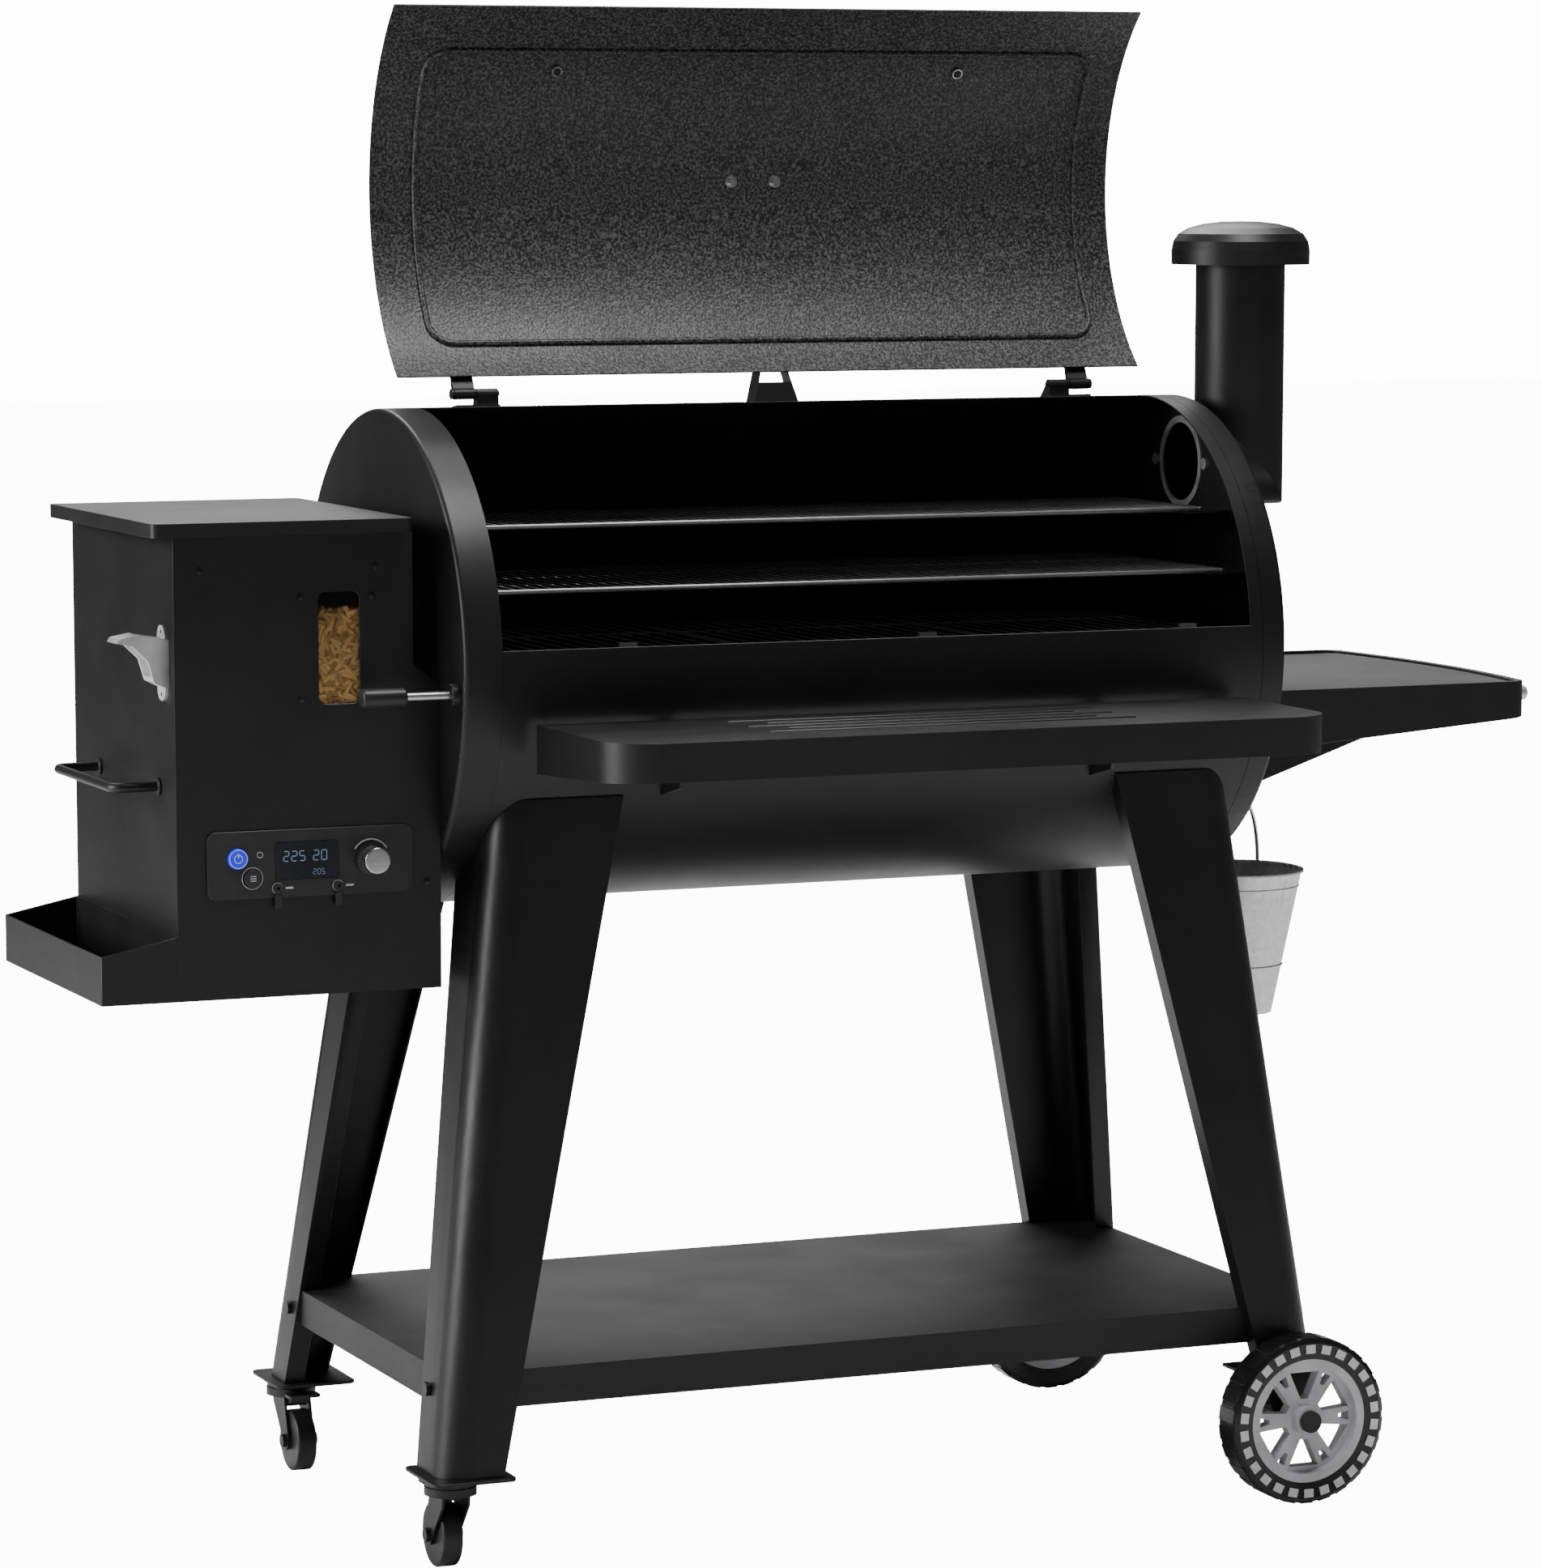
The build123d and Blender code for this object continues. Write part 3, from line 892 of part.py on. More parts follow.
spout -= block(HALF + 40, HALF + 60, -20, 20, SPOUT_Z - 20, SPOUT_Z)
save("drip_tray", drip_tray, downspout, spout)

BROIL_TRAVEL = 45.0
plate_z = DRIP_Z + 0.5
broiler = block(POT_X - 125, POT_X + 80, -100, 100, plate_z, plate_z + 3)
broiler += block(POT_X - 12, POT_X + 12, -100, -94, plate_z, DRIP_Z + 12)
broiler += block(POT_X - 12, POT_X + 12, LEVER_Y - 8, -94, DRIP_Z + 9, DRIP_Z + 12)
broiler += block(POT_X - 12, POT_X + 12, LEVER_Y - 8, LEVER_Y + 8, DRIP_Z + 9, LEVER_Z + 8)
broiler -= rod_x(POT_X - 13, POT_X + 13, LEVER_Y, LEVER_Z, LEVER_ROD_R)
save("broiler_plate", broiler)
GRIP_X = (-HALF - 113.4, -HALF - 61.4)
lever = rod_x(GRIP_X[0] + 12, POT_X + 12, LEVER_Y, LEVER_Z, LEVER_ROD_R)
grip = rod_x(*GRIP_X, LEVER_Y, LEVER_Z, 11)
grip = fillet(grip.edges().filter_by(GeomType.CIRCLE), 3)
grip -= rod_x(GRIP_X[0] + 12, GRIP_X[1] + 1, LEVER_Y, LEVER_Z, LEVER_ROD_R)
save("broiler_lever", lever, grip)

# ---------------------------------------------------------------- grates, racks and their rails
GRATE_Y = 0.962 * BARREL_R
GRATE_T = 12.0
grate_x0 = SHELL_LEFT + 7
grate_x1 = SHELL_RIGHT - 7
GRATE_COUNT = 3
grate_w = (grate_x1 - grate_x0) / GRATE_COUNT
grates = []
for i in range(GRATE_COUNT):
    x0 = grate_x0 + i * grate_w + 0.75
    x1 = grate_x0 + (i + 1) * grate_w - 0.75
    grate = slab_z(x0, x1, -GRATE_Y, GRATE_Y, GRATE_Z - GRATE_T, GRATE_Z, 6)
    slots = int((x1 - x0 - 20) / 20)
    pitch = (x1 - x0 - 12) / slots
    cuts = []
    for j in range(slots):
        mid = x0 + 6 + (j + 0.5) * pitch
        for y0, y1 in ((-GRATE_Y + 10, -5), (5, GRATE_Y - 10)):
            cuts.append(block(mid - pitch / 2 + 3.5, mid + pitch / 2 - 3.5, y0, y1, GRATE_Z - 20, GRATE_Z + 5))
    grates.append(grate - cuts)
save("cooking_grates", *grates)

RACK_WIRE = 6.0
rack_x0 = SHELL_LEFT + 4
rack_x1 = OPEN_RIGHT - 4
UPPER_RACK_Y = (-0.587 * BARREL_R, 0.671 * BARREL_R)
MIDDLE_RACK_Y = (-0.787 * BARREL_R, 0.787 * BARREL_R)


def rack(y0, y1, top):
    """Frame with cross wires on top and three bearers below."""
    low = top - RACK_WIRE
    frame = block(rack_x0, rack_x1, y0, y1, low, top)
    frame -= block(
        rack_x0 + RACK_WIRE, rack_x1 - RACK_WIRE, y0 + RACK_WIRE, y1 - RACK_WIRE, low - 1, top + 1
    )
    bars = []
    count = int((rack_x1 - rack_x0) / 25)
    for k in range(1, count):
        x = rack_x0 + k * (rack_x1 - rack_x0) / count
        bars.append(block(x - 1.6, x + 1.6, y0 + 1, y1 - 1, top - 3.2, top))
    for k in (0.25, 0.5, 0.75):
        y = y0 + k * (y1 - y0)
        bars.append(block(rack_x0 + 1, rack_x1 - 1, y - 2.5, y + 2.5, low, top - 2))
    return frame + bars


save("upper_rack", rack(*UPPER_RACK_Y, UPPER_RACK_Z))
save("middle_rack", rack(*MIDDLE_RACK_Y, MIDDLE_RACK_Z))

rails = []
for top, span in ((UPPER_RACK_Z, UPPER_RACK_Y), (MIDDLE_RACK_Z, MIDDLE_RACK_Y)):
    z = top - RACK_WIRE - 0.5
    for x0, x1, wall0, wall1 in (
        (-HALF + SHEET, rack_x0 + 12, -HALF + SHEET, -HALF + SHEET + 2.5),
        (rack_x1 - 12, HALF - SHEET, HALF - SHEET - 2.5, HALF - SHEET),
    ):
        rail = block(x0, x1, span[0] + 20, span[1] - 20, z - 2.5, z)
        rail += block(wall0, wall1, span[0] + 20, span[1] - 20, z - 18, z)
        rail -= rod_x(HALF - SHEET - 9, HALF, PIPE_Y, FLUE_Z, PIPE_R + 2)
        rails.append(rail)
for side in (-1, 1):
    for top in (GRATE_Z - GRATE_T, DRIP_Z - SHEET):
        inner = (GRATE_Y - 9) if top > DRIP_Z else (TRAY_Y - 9)
        y0, y1 = sorted((side * inner, side * BARREL_R))
        ledge = block(SHELL_LEFT + 20, SHELL_RIGHT - 4, y0, y1, top - 3, top)
        rails.append(ledge & inside_barrel)
tab_y = -GRATE_Y - 1.2
for x in (LID_MID - 320.0, LID_MID + 49.0, LID_MID + 382.0):
    tab = block(x - 11, x + 11, tab_y - 20, tab_y, GRATE_Z - GRATE_T, GRATE_Z + 14)
    tab &= inside_barrel
    rails.append(tab)
save("rack_supports", *rails)

# ---------------------------------------------------------------- grease bucket and bail
BUCKET_H = 178.0
BUCKET_LOW_R = BUCKET_R - 35.0
EAR_Z = BUCKET_RIM_Z - 14.0
EAR_REACH = BUCKET_R + 5.0
WIRE_R = 2.5
wall_r = BUCKET_LOW_R + 35.0 * (BUCKET_H - 14.0) / (BUCKET_H - 3.0)
bucket = lathe_z(
    [
        (0, BUCKET_RIM_Z - BUCKET_H), (BUCKET_LOW_R, BUCKET_RIM_Z - BUCKET_H),
        (BUCKET_R, BUCKET_RIM_Z - 3), (BUCKET_R + 3, BUCKET_RIM_Z - 3), (BUCKET_R + 3, BUCKET_RIM_Z),
        (BUCKET_R - 1, BUCKET_RIM_Z), (BUCKET_LOW_R - 1, BUCKET_RIM_Z - BUCKET_H + 1.5),
        (0, BUCKET_RIM_Z - BUCKET_H + 1.5),
    ],
    BUCKET_X, 0,
)


def across(r0, r1, r, z, turn):
    """Round bar out from the bucket's axis, turned in plan."""
    return Pos(BUCKET_X, 0, z) * Rot(0, 0, turn) * rod_x(r0, r1, 0, 0, r)


bail_ends = []
for turn in (45, 225):
    ear = across(wall_r - 1.5, BUCKET_R + 2, 6, EAR_Z, turn)
    ear -= across(0, wall_r - 0.6, 7, EAR_Z, turn)
    ear -= across(wall_r + 0.5, BUCKET_R + 3, WIRE_R + RUNNING_FIT, EAR_Z, turn)
    bucket += ear
    bail_ends.append(across(wall_r + 1, EAR_REACH, WIRE_R, EAR_Z, turn))
save("bucket", bucket)

diagonal = sqrt(0.5) * EAR_REACH
bail_top = HOOK_Z + 7.0
arch = ThreePointArc(
    (BUCKET_X - diagonal, -diagonal, EAR_Z), (BUCKET_X, 0, bail_top), (BUCKET_X + diagonal, diagonal, EAR_Z)
)
bail = sweep(Plane(origin=arch @ 0, z_dir=arch % 0) * Circle(WIRE_R), path=arch)
bail += rod_x(BUCKET_X - 6, BUCKET_X + 6, 0, HOOK_Z, 6)
for end, turn in zip(bail_ends, (45, 225)):
    bail += end + Pos(BUCKET_X, 0, EAR_Z) * Rot(0, 0, turn) * Pos(EAR_REACH, 0, 0) * Sphere(WIRE_R)
bail -= rod_x(BUCKET_X - 20, BUCKET_X + 20, 0, HOOK_Z, HOOK_R + RUNNING_FIT)
save("bail", bail)

# ---------------------------------------------------------------- legs and lower shelf


def leg_section(z):
    """Bent sheet with a return hem on both free edges, seen in plan."""
    x_out, y_out = leg_outer_x(z), leg_outer_y(z)
    x_in = leg_inner_x(z)
    y_in = y_out - leg_depth(z)
    t = LEG_SHEET
    bend = LEG_BEND
    shift = bend * (1 - sqrt(0.5))
    inner_shift = t + (bend - t) * (1 - sqrt(0.5))

    def at(x, y):
        return (x, y, z)

    edges = [
        Line(at(x_in, y_out - LEG_HEM), at(x_in, y_out)),
        Line(at(x_in, y_out), at(x_out - bend, y_out)),
        ThreePointArc(
            at(x_out - bend, y_out), at(x_out - shift, y_out - shift), at(x_out, y_out - bend)
        ),
        Line(at(x_out, y_out - bend), at(x_out, y_in)),
        Line(at(x_out, y_in), at(x_out - LEG_HEM, y_in)),
        Line(at(x_out - LEG_HEM, y_in), at(x_out - LEG_HEM, y_in + t)),
        Line(at(x_out - LEG_HEM, y_in + t), at(x_out - t, y_in + t)),
        Line(at(x_out - t, y_in + t), at(x_out - t, y_out - bend)),
        ThreePointArc(
            at(x_out - t, y_out - bend), at(x_out - inner_shift, y_out - inner_shift),
            at(x_out - bend, y_out - t),
        ),
        Line(at(x_out - bend, y_out - t), at(x_in + t, y_out - t)),
        Line(at(x_in + t, y_out - t), at(x_in + t, y_out - LEG_HEM)),
        Line(at(x_in + t, y_out - LEG_HEM), at(x_in, y_out - LEG_HEM)),
    ]
    return make_face(edges)


SHELF_HALF_X = leg_outer_x(LOWER_SHELF_Z) - LEG_SHEET
SHELF_HALF_Y = leg_outer_y(LOWER_SHELF_Z) - 12.9
SHELF_DEPTH = 43.0
lower_block = slab_z(
    -SHELF_HALF_X, SHELF_HALF_X, -SHELF_HALF_Y, SHELF_HALF_Y,
    LOWER_SHELF_Z - SHELF_DEPTH, LOWER_SHELF_Z, LEG_BEND,
)
lower_shelf = lower_block - slab_z(
    SHEET - SHELF_HALF_X, SHELF_HALF_X - SHEET, SHEET - SHELF_HALF_Y, SHELF_HALF_Y - SHEET,
    LOWER_SHELF_Z - SHELF_DEPTH - 1, LOWER_SHELF_Z - SHEET, LEG_BEND - SHEET,
)

BOLT_R = 4.0
BOLT_Z = LOWER_SHELF_Z - 24.5
bolt_y = leg_outer_y(BOLT_Z) - LEG_BEND - 24
legs = []
bolts = []
barrel_clear = rod_x(-HALF - 5, HALF + 5, 0, BARREL_Z, BARREL_R)
for foot_z, side_x in ((CASTER_PLATE_Z, -1), (AXLE_PLATE_Z, 1)):
    leg = loft([leg_section(foot_z), leg_section(LEG_TOP)], ruled=True)
    leg -= barrel_clear
    leg -= lower_block
    leg = max(leg.solids(), key=lambda s: s.volume)
    for side_y in (-1, 1):
        placed = leg
        if side_x < 0:
            placed = mirror(placed, about=Plane.YZ)
        if side_y < 0:
            placed = mirror(placed, about=Plane.XZ)
        reach = leg_outer_x(BOLT_Z - 8) + 0.1
        shank = sorted((side_x * (SHELF_HALF_X - SHEET - 7), side_x * reach))
        head = sorted((side_x * reach, side_x * (reach + 4.5)))
        nut = sorted((side_x * (SHELF_HALF_X - SHEET - 6), side_x * (SHELF_HALF_X - SHEET)))
        hole = rod_x(side_x * 400, side_x * 700, side_y * bolt_y, BOLT_Z, BOLT_R)
        placed = placed - hole
        lower_shelf -= hole
        bolt = rod_x(*shank, side_y * bolt_y, BOLT_Z, BOLT_R)
        bolt += rod_x(*head, side_y * bolt_y, BOLT_Z, 8)
        bolt += rod_x(*nut, side_y * bolt_y, BOLT_Z, 7)
        bolts.append(bolt)
        legs.append(placed)
save("legs", *legs)
save("lower_shelf", lower_shelf)
save("fasteners", *bolts)

# ---------------------------------------------------------------- caster plates and axle brackets
KINGPIN_R = 6.0
RACE_R = 29.0
AXLE_R = 8.0
CASTER_AXLE_R = 4.0
feet = []
axles = []
for side in (-1, 1):
    y0, y1 = sorted((
        side * (LEG_FOOT_Y - leg_depth(CASTER_PLATE_Z) - 12), side * (LEG_FOOT_Y + 12)
    ))
    plate = slab_z(
        -LEG_FOOT_X - 12, -leg_inner_x(CASTER_PLATE_Z) + 12, y0, y1, CASTER_HEIGHT, CASTER_PLATE_Z, 10
    )
    race = rod_z(CASTER_HEIGHT - 8, CASTER_HEIGHT, CASTER_X, side * CASTER_Y, RACE_R)
    kingpin = rod_z(CASTER_HEIGHT - 21, CASTER_HEIGHT - 8, CASTER_X, side * CASTER_Y, KINGPIN_R)
    kingpin += rod_z(CASTER_HEIGHT - 25, CASTER_HEIGHT - 21, CASTER_X, side * CASTER_Y, 9)
    feet += [plate, race + kingpin]

    foot_y = leg_outer_y(AXLE_PLATE_Z)
    inner_y = foot_y - leg_depth(AXLE_PLATE_Z)
    y0, y1 = sorted((side * inner_y, side * foot_y))
    foot = slab_z(
        leg_inner_x(AXLE_PLATE_Z) - 12, leg_outer_x(AXLE_PLATE_Z) + 8, y0, y1,
        AXLE_PLATE_Z - 4, AXLE_PLATE_Z, 3,
    )
    for cheek_y in (foot_y - 6, inner_y + 3):
        c0, c1 = sorted((side * cheek_y, side * (cheek_y + 3)))
        cheek = prism_y(
            [
                (WHEEL_X - 34, AXLE_PLATE_Z - 4), (WHEEL_X - 14, AXLE_Z - 16), (WHEEL_X + 14, AXLE_Z - 16),
                (WHEEL_X + 34, AXLE_PLATE_Z - 4),
            ],
            c0, c1,
        )
        foot += cheek
    a0, a1 = sorted((side * (inner_y - 6), side * (WHEEL_INNER_Y + WHEEL_WIDTH)))
    axle = rod_y(a0, a1, WHEEL_X, AXLE_Z, AXLE_R)
    foot -= axle
    c0, c1 = sorted((side * (WHEEL_INNER_Y + WHEEL_WIDTH), side * (WHEEL_INNER_Y + WHEEL_WIDTH + AXLE_CAP)))
    cap = rod_y(c0, c1, WHEEL_X, AXLE_Z, 13)
    n0, n1 = sorted((side * (inner_y - 6), side * (inner_y - 0.5)))
    axle += rod_y(n0, n1, WHEEL_X, AXLE_Z, 12)
    axles.append(axle + cap)
    feet.append(foot)
save("foot_plates", *feet)
save("wheel_axles", *axles)

# ---------------------------------------------------------------- big wheels
RIM_R = 0.744 * WHEEL_R


def fan_opening(r0, r1, half_deg, turn, y0, y1):
    """Tapered window between two spokes, cut through the wheel."""
    points = []
    for r, a in ((r0, -half_deg * 0.6), (r0, half_deg * 0.6), (r1, half_deg), (r1, -half_deg)):
        b = radians(turn + a)
        points.append((WHEEL_X + r * sin(b), AXLE_Z + r * cos(b)))
    return prism_y(points, y0, y1)


for side, name in ((-1, "front"), (1, "back")):
    y0, y1 = sorted((side * WHEEL_INNER_Y, side * (WHEEL_INNER_Y + WHEEL_WIDTH)))
    tyre = lathe_y(
        [
            (RIM_R, y0 + 3), (WHEEL_R - 6, y0), (WHEEL_R - 1.5, y0 + 3), (WHEEL_R, y0 + 8),
            (WHEEL_R, y1 - 8), (WHEEL_R - 1.5, y1 - 3), (WHEEL_R - 6, y1), (RIM_R, y1 - 3),
        ],
        WHEEL_X, AXLE_Z,
    )
    ring = rod_y(y0 + 3, y1 - 3, WHEEL_X, AXLE_Z, RIM_R)
    ring -= rod_y(y0, y1, WHEEL_X, AXLE_Z, RIM_R - 10)
    mid = (y0 + y1) / 2
    web = rod_y(mid - 8, mid + 8, WHEEL_X, AXLE_Z, RIM_R - 8)
    for i in range(6):
        web -= fan_opening(25, 60, 19, i * 60, mid - 10, mid + 10)
        web -= fan_opening(46, 60, 5.5, i * 60 + 30, mid - 10, mid + 10)
    hub = rod_y(y0 + 1, y1 - 0.5, WHEEL_X, AXLE_Z, 17)
    rim = ring + web + hub - rod_y(y0 - 1, y1 + 1, WHEEL_X, AXLE_Z, AXLE_R + RUNNING_FIT)
    save(f"{name}_rim", rim)
    save(f"{name}_tyre", tyre)

# ---------------------------------------------------------------- casters
CHEEK_GAP = 14.0
CHEEK_T = 3.0
CASTER_WHEEL_HALF = 12.0
BRAKE_T = 20.0
BRAKE_Z = 83.0
for side, name in ((-1, "front"), (1, "back")):
    swivel_y = side * CASTER_Y

    def inward(t):
        """Distance from the swivel axis toward the middle of the stand."""
        return swivel_y - side * t

    axle_y = inward(CASTER_TRAIL)
    fork = rod_z(CASTER_HEIGHT - 18, CASTER_HEIGHT - 8.4, CASTER_X, swivel_y, RACE_R + 1)
    fork -= rod_z(CASTER_HEIGHT - 19, CASTER_HEIGHT, CASTER_X, swivel_y, KINGPIN_R + RUNNING_FIT)
    top = CASTER_HEIGHT - 18
    cheek_points = [
        (inward(-20), top), (inward(24), top), (inward(37), 46), (inward(36), 31), (inward(30), 26),
        (inward(22), 27), (inward(12), 42), (inward(-18), top - 12),
    ]
    for cheek_side in (-1, 1):
        near = CASTER_X + cheek_side * CHEEK_GAP
        span = sorted((near, near + cheek_side * CHEEK_T))
        fork += prism_x(cheek_points, *span)
    half = CHEEK_GAP + CHEEK_T
    axle = rod_x(CASTER_X - half - 5, CASTER_X + half + 5, axle_y, CASTER_WHEEL_R, CASTER_AXLE_R)
    for cheek_side in (-1, 1):
        span = sorted((CASTER_X + cheek_side * half, CASTER_X + cheek_side * (half + 5)))
        axle += rod_x(*span, axle_y, CASTER_WHEEL_R, 8)
    brake_pin = rod_x(CASTER_X - half, CASTER_X + half, inward(BRAKE_T), BRAKE_Z, 2.5)
    fork -= rod_x(CASTER_X - 30, CASTER_X + 30, axle_y, CASTER_WHEEL_R, CASTER_AXLE_R)
    fork -= brake_pin
    save(f"{name}_caster_fork", fork, axle, brake_pin)

    wheel = rod_x(
        CASTER_X - CASTER_WHEEL_HALF, CASTER_X + CASTER_WHEEL_HALF, axle_y, CASTER_WHEEL_R, CASTER_WHEEL_R
    )
    wheel = fillet(wheel.edges().filter_by(GeomType.CIRCLE), 3)
    wheel += rod_x(CASTER_X - 13.5, CASTER_X + 13.5, axle_y, CASTER_WHEEL_R, 11)
    wheel -= rod_x(CASTER_X - 20, CASTER_X + 20, axle_y, CASTER_WHEEL_R, CASTER_AXLE_R + RUNNING_FIT)
    save(f"{name}_caster_wheel", wheel)

    arm = prism_x(
        [
            (inward(BRAKE_T - 4), BRAKE_Z - 2), (inward(BRAKE_T - 3), BRAKE_Z + 4),
            (inward(33), 88.5), (inward(34), 94), (inward(37), 94), (inward(37), 86),
        ],
        CASTER_X - 12, CASTER_X + 12,
    )
    arm += rod_x(CASTER_X - 12.5, CASTER_X + 12.5, inward(BRAKE_T), BRAKE_Z, 5)
    t0, t1 = sorted((inward(34), inward(56)))
    arm += slab_z(CASTER_X - 20, CASTER_X + 20, t0, t1, 94, 97.5, 4)
    arm -= rod_x(CASTER_X - 20, CASTER_X + 20, inward(BRAKE_T), BRAKE_Z, 2.5 + RUNNING_FIT)
    save(f"{name}_brake", arm)
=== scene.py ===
"""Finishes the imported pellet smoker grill: fine parts, materials, stage."""
import json
import math
import random

import bpy
from bpy.props import FloatProperty, FloatVectorProperty, IntProperty, PointerProperty
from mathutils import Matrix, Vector

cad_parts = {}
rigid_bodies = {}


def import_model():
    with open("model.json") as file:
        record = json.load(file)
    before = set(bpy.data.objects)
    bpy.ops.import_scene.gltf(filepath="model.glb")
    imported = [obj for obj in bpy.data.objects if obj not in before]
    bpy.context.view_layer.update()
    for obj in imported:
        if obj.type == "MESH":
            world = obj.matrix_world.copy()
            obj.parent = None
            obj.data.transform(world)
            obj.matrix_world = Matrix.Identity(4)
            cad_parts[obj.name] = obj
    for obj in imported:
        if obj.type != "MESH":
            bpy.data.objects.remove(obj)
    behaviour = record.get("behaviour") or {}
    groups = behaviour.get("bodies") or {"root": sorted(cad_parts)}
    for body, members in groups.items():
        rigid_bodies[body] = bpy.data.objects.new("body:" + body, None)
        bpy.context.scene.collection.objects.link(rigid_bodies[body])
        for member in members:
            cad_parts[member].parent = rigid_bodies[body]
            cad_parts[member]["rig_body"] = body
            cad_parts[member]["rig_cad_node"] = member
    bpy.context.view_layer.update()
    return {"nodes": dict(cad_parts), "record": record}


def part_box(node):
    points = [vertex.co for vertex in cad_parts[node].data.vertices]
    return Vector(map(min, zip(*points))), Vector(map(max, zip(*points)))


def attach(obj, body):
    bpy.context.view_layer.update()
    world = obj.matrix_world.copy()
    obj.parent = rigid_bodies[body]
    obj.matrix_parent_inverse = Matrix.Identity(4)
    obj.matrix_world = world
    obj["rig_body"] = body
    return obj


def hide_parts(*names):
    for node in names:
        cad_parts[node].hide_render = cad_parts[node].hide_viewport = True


bl_info = {
    "name": "Pellet Smoker Grill",
    "version": (1, 0, 0),
    "blender": (4, 5, 0),
    "location": "3D View > Sidebar > Grill",
    "description": "Builds the visible parts, finishes and stage of a pellet smoker grill",
    "category": "Object",
}

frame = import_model()
NODES = frame["nodes"]
BODY_OF = {n: b for b, names in frame["record"]["behaviour"]["bodies"].items() for n in names}
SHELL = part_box("barrel_shell")
AXIS_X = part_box("right_cap")[1].x - 0.5132
AXIS_Y = (SHELL[0].y + SHELL[1].y) / 2
AXIS_Z = (SHELL[0].z + SHELL[1].z) / 2


# ------------------------------------------------------------------ sizes and colours
class GRILL_PG_finish(bpy.types.PropertyGroup):
    coat_colour: FloatVectorProperty(
        name="Coat colour", description="Black powder coat on the sheet metal",
        default=(0.0075, 0.0075, 0.008), size=3, subtype="COLOR", min=0, max=1,
    )
    coat_roughness: FloatProperty(
        name="Coat roughness", description="Gloss of the powder coat", default=0.43, min=0, max=1
    )
    steel_colour: FloatVectorProperty(
        name="Steel colour", description="Bare steel of handles, rods and hooks",
        default=(0.62, 0.62, 0.63), size=3, subtype="COLOR", min=0, max=1,
    )
    bucket_colour: FloatVectorProperty(
        name="Bucket colour", description="Bright tinned steel of the grease bucket",
        default=(0.95, 0.95, 0.95), size=3, subtype="COLOR", min=0, max=1,
    )
    pellet_colour: FloatVectorProperty(
        name="Pellet colour", description="Pressed wood pellets",
        default=(0.9, 0.5, 0.17), size=3, subtype="COLOR", min=0, max=1,
    )
    rim_colour: FloatVectorProperty(
        name="Rim colour", description="Moulded grey wheel rims",
        default=(0.66, 0.66, 0.68), size=3, subtype="COLOR", min=0, max=1,
    )
    lamp_colour: FloatVectorProperty(
        name="Lamp colour", description="Light of the power button and display",
        default=(0.01, 0.02, 0.95), size=3, subtype="COLOR", min=0, max=1,
    )


class GRILL_PG_sizes(bpy.types.PropertyGroup):
    sheet_bevel: FloatProperty(
        name="Sheet edge", description="Rounding of sheet metal edges",
        default=0.0006, unit="LENGTH",
    )
    bead_width: FloatProperty(
        name="Bead width", description="Width of the bead pressed round the lid",
        default=0.007, unit="LENGTH",
    )
    rack_frame: FloatProperty(
        name="Rack frame wire", description="Diameter of the rack frame wire",
        default=0.006, unit="LENGTH",
    )
    rack_wire: FloatProperty(
        name="Rack cross wire", description="Diameter of the rack cross wires",
        default=0.0032, unit="LENGTH",
    )
    rack_pitch: FloatProperty(
        name="Rack pitch", description="Spacing of the rack cross wires",
        default=0.0155, unit="LENGTH",
    )
    pellet_width: FloatProperty(
        name="Pellet width", description="Diameter of one wood pellet",
        default=0.0056, unit="LENGTH",
    )
    pellet_count: IntProperty(
        name="Pellets", description="Pellets seen behind the window", default=420, min=1
    )
    tread_blocks: IntProperty(
        name="Tread blocks", description="Blocks round each large tyre", default=26, min=3
    )


class GRILL_PG_stage(bpy.types.PropertyGroup):
    floor_colour: FloatVectorProperty(
        name="Floor colour", description="Plain pale floor", default=(0.9, 0.9, 0.9),
        size=3, subtype="COLOR", min=0, max=1,
    )
    left_power: FloatProperty(
        name="Left light", description="Soft light on the left", default=250.0
    )
    top_power: FloatProperty(
        name="Top light", description="Soft light above and behind", default=290.0
    )
    front_power: FloatProperty(name="Front light", description="Soft light in front", default=3.0)
    lid_power: FloatProperty(name="Lid light", description="Light into the open lid", default=120.0)
    lens: FloatProperty(name="Lens", description="Focal length in millimetres", default=131.64)


def at(x, y, z):
    """Place given in millimetres from the barrel's axis and the floor."""
    return Vector((AXIS_X + x / 1000, AXIS_Y + y / 1000, z / 1000))


def finish_values():
    return bpy.context.scene.grill_finish


def sizes():
    return bpy.context.scene.grill_sizes


# ------------------------------------------------------------------ mesh helpers
def only(obj):
    """Selects this object alone and makes it the active one."""
    if bpy.context.object and bpy.context.object.mode != "OBJECT":
        bpy.ops.object.mode_set(mode="OBJECT")
    bpy.ops.object.select_all(action="DESELECT")
    obj.hide_set(False)
    obj.select_set(True)
    bpy.context.view_layer.objects.active = obj
    return obj


def apply_place(obj):
    only(obj)
    bpy.ops.object.transform_apply(location=True, rotation=True, scale=True)
    return obj


def modify(obj, kind, **values):
    """Adds one modifier with these values and applies it."""
    only(obj)
    mod = obj.modifiers.new(kind.title(), kind)
    for key, value in values.items():
        setattr(mod, key, value)
    bpy.ops.object.modifier_apply(modifier=mod.name)
    return obj


def smooth(obj, angle=35):
    only(obj)
    bpy.ops.object.shade_smooth_by_angle(angle=math.radians(angle))
    return obj


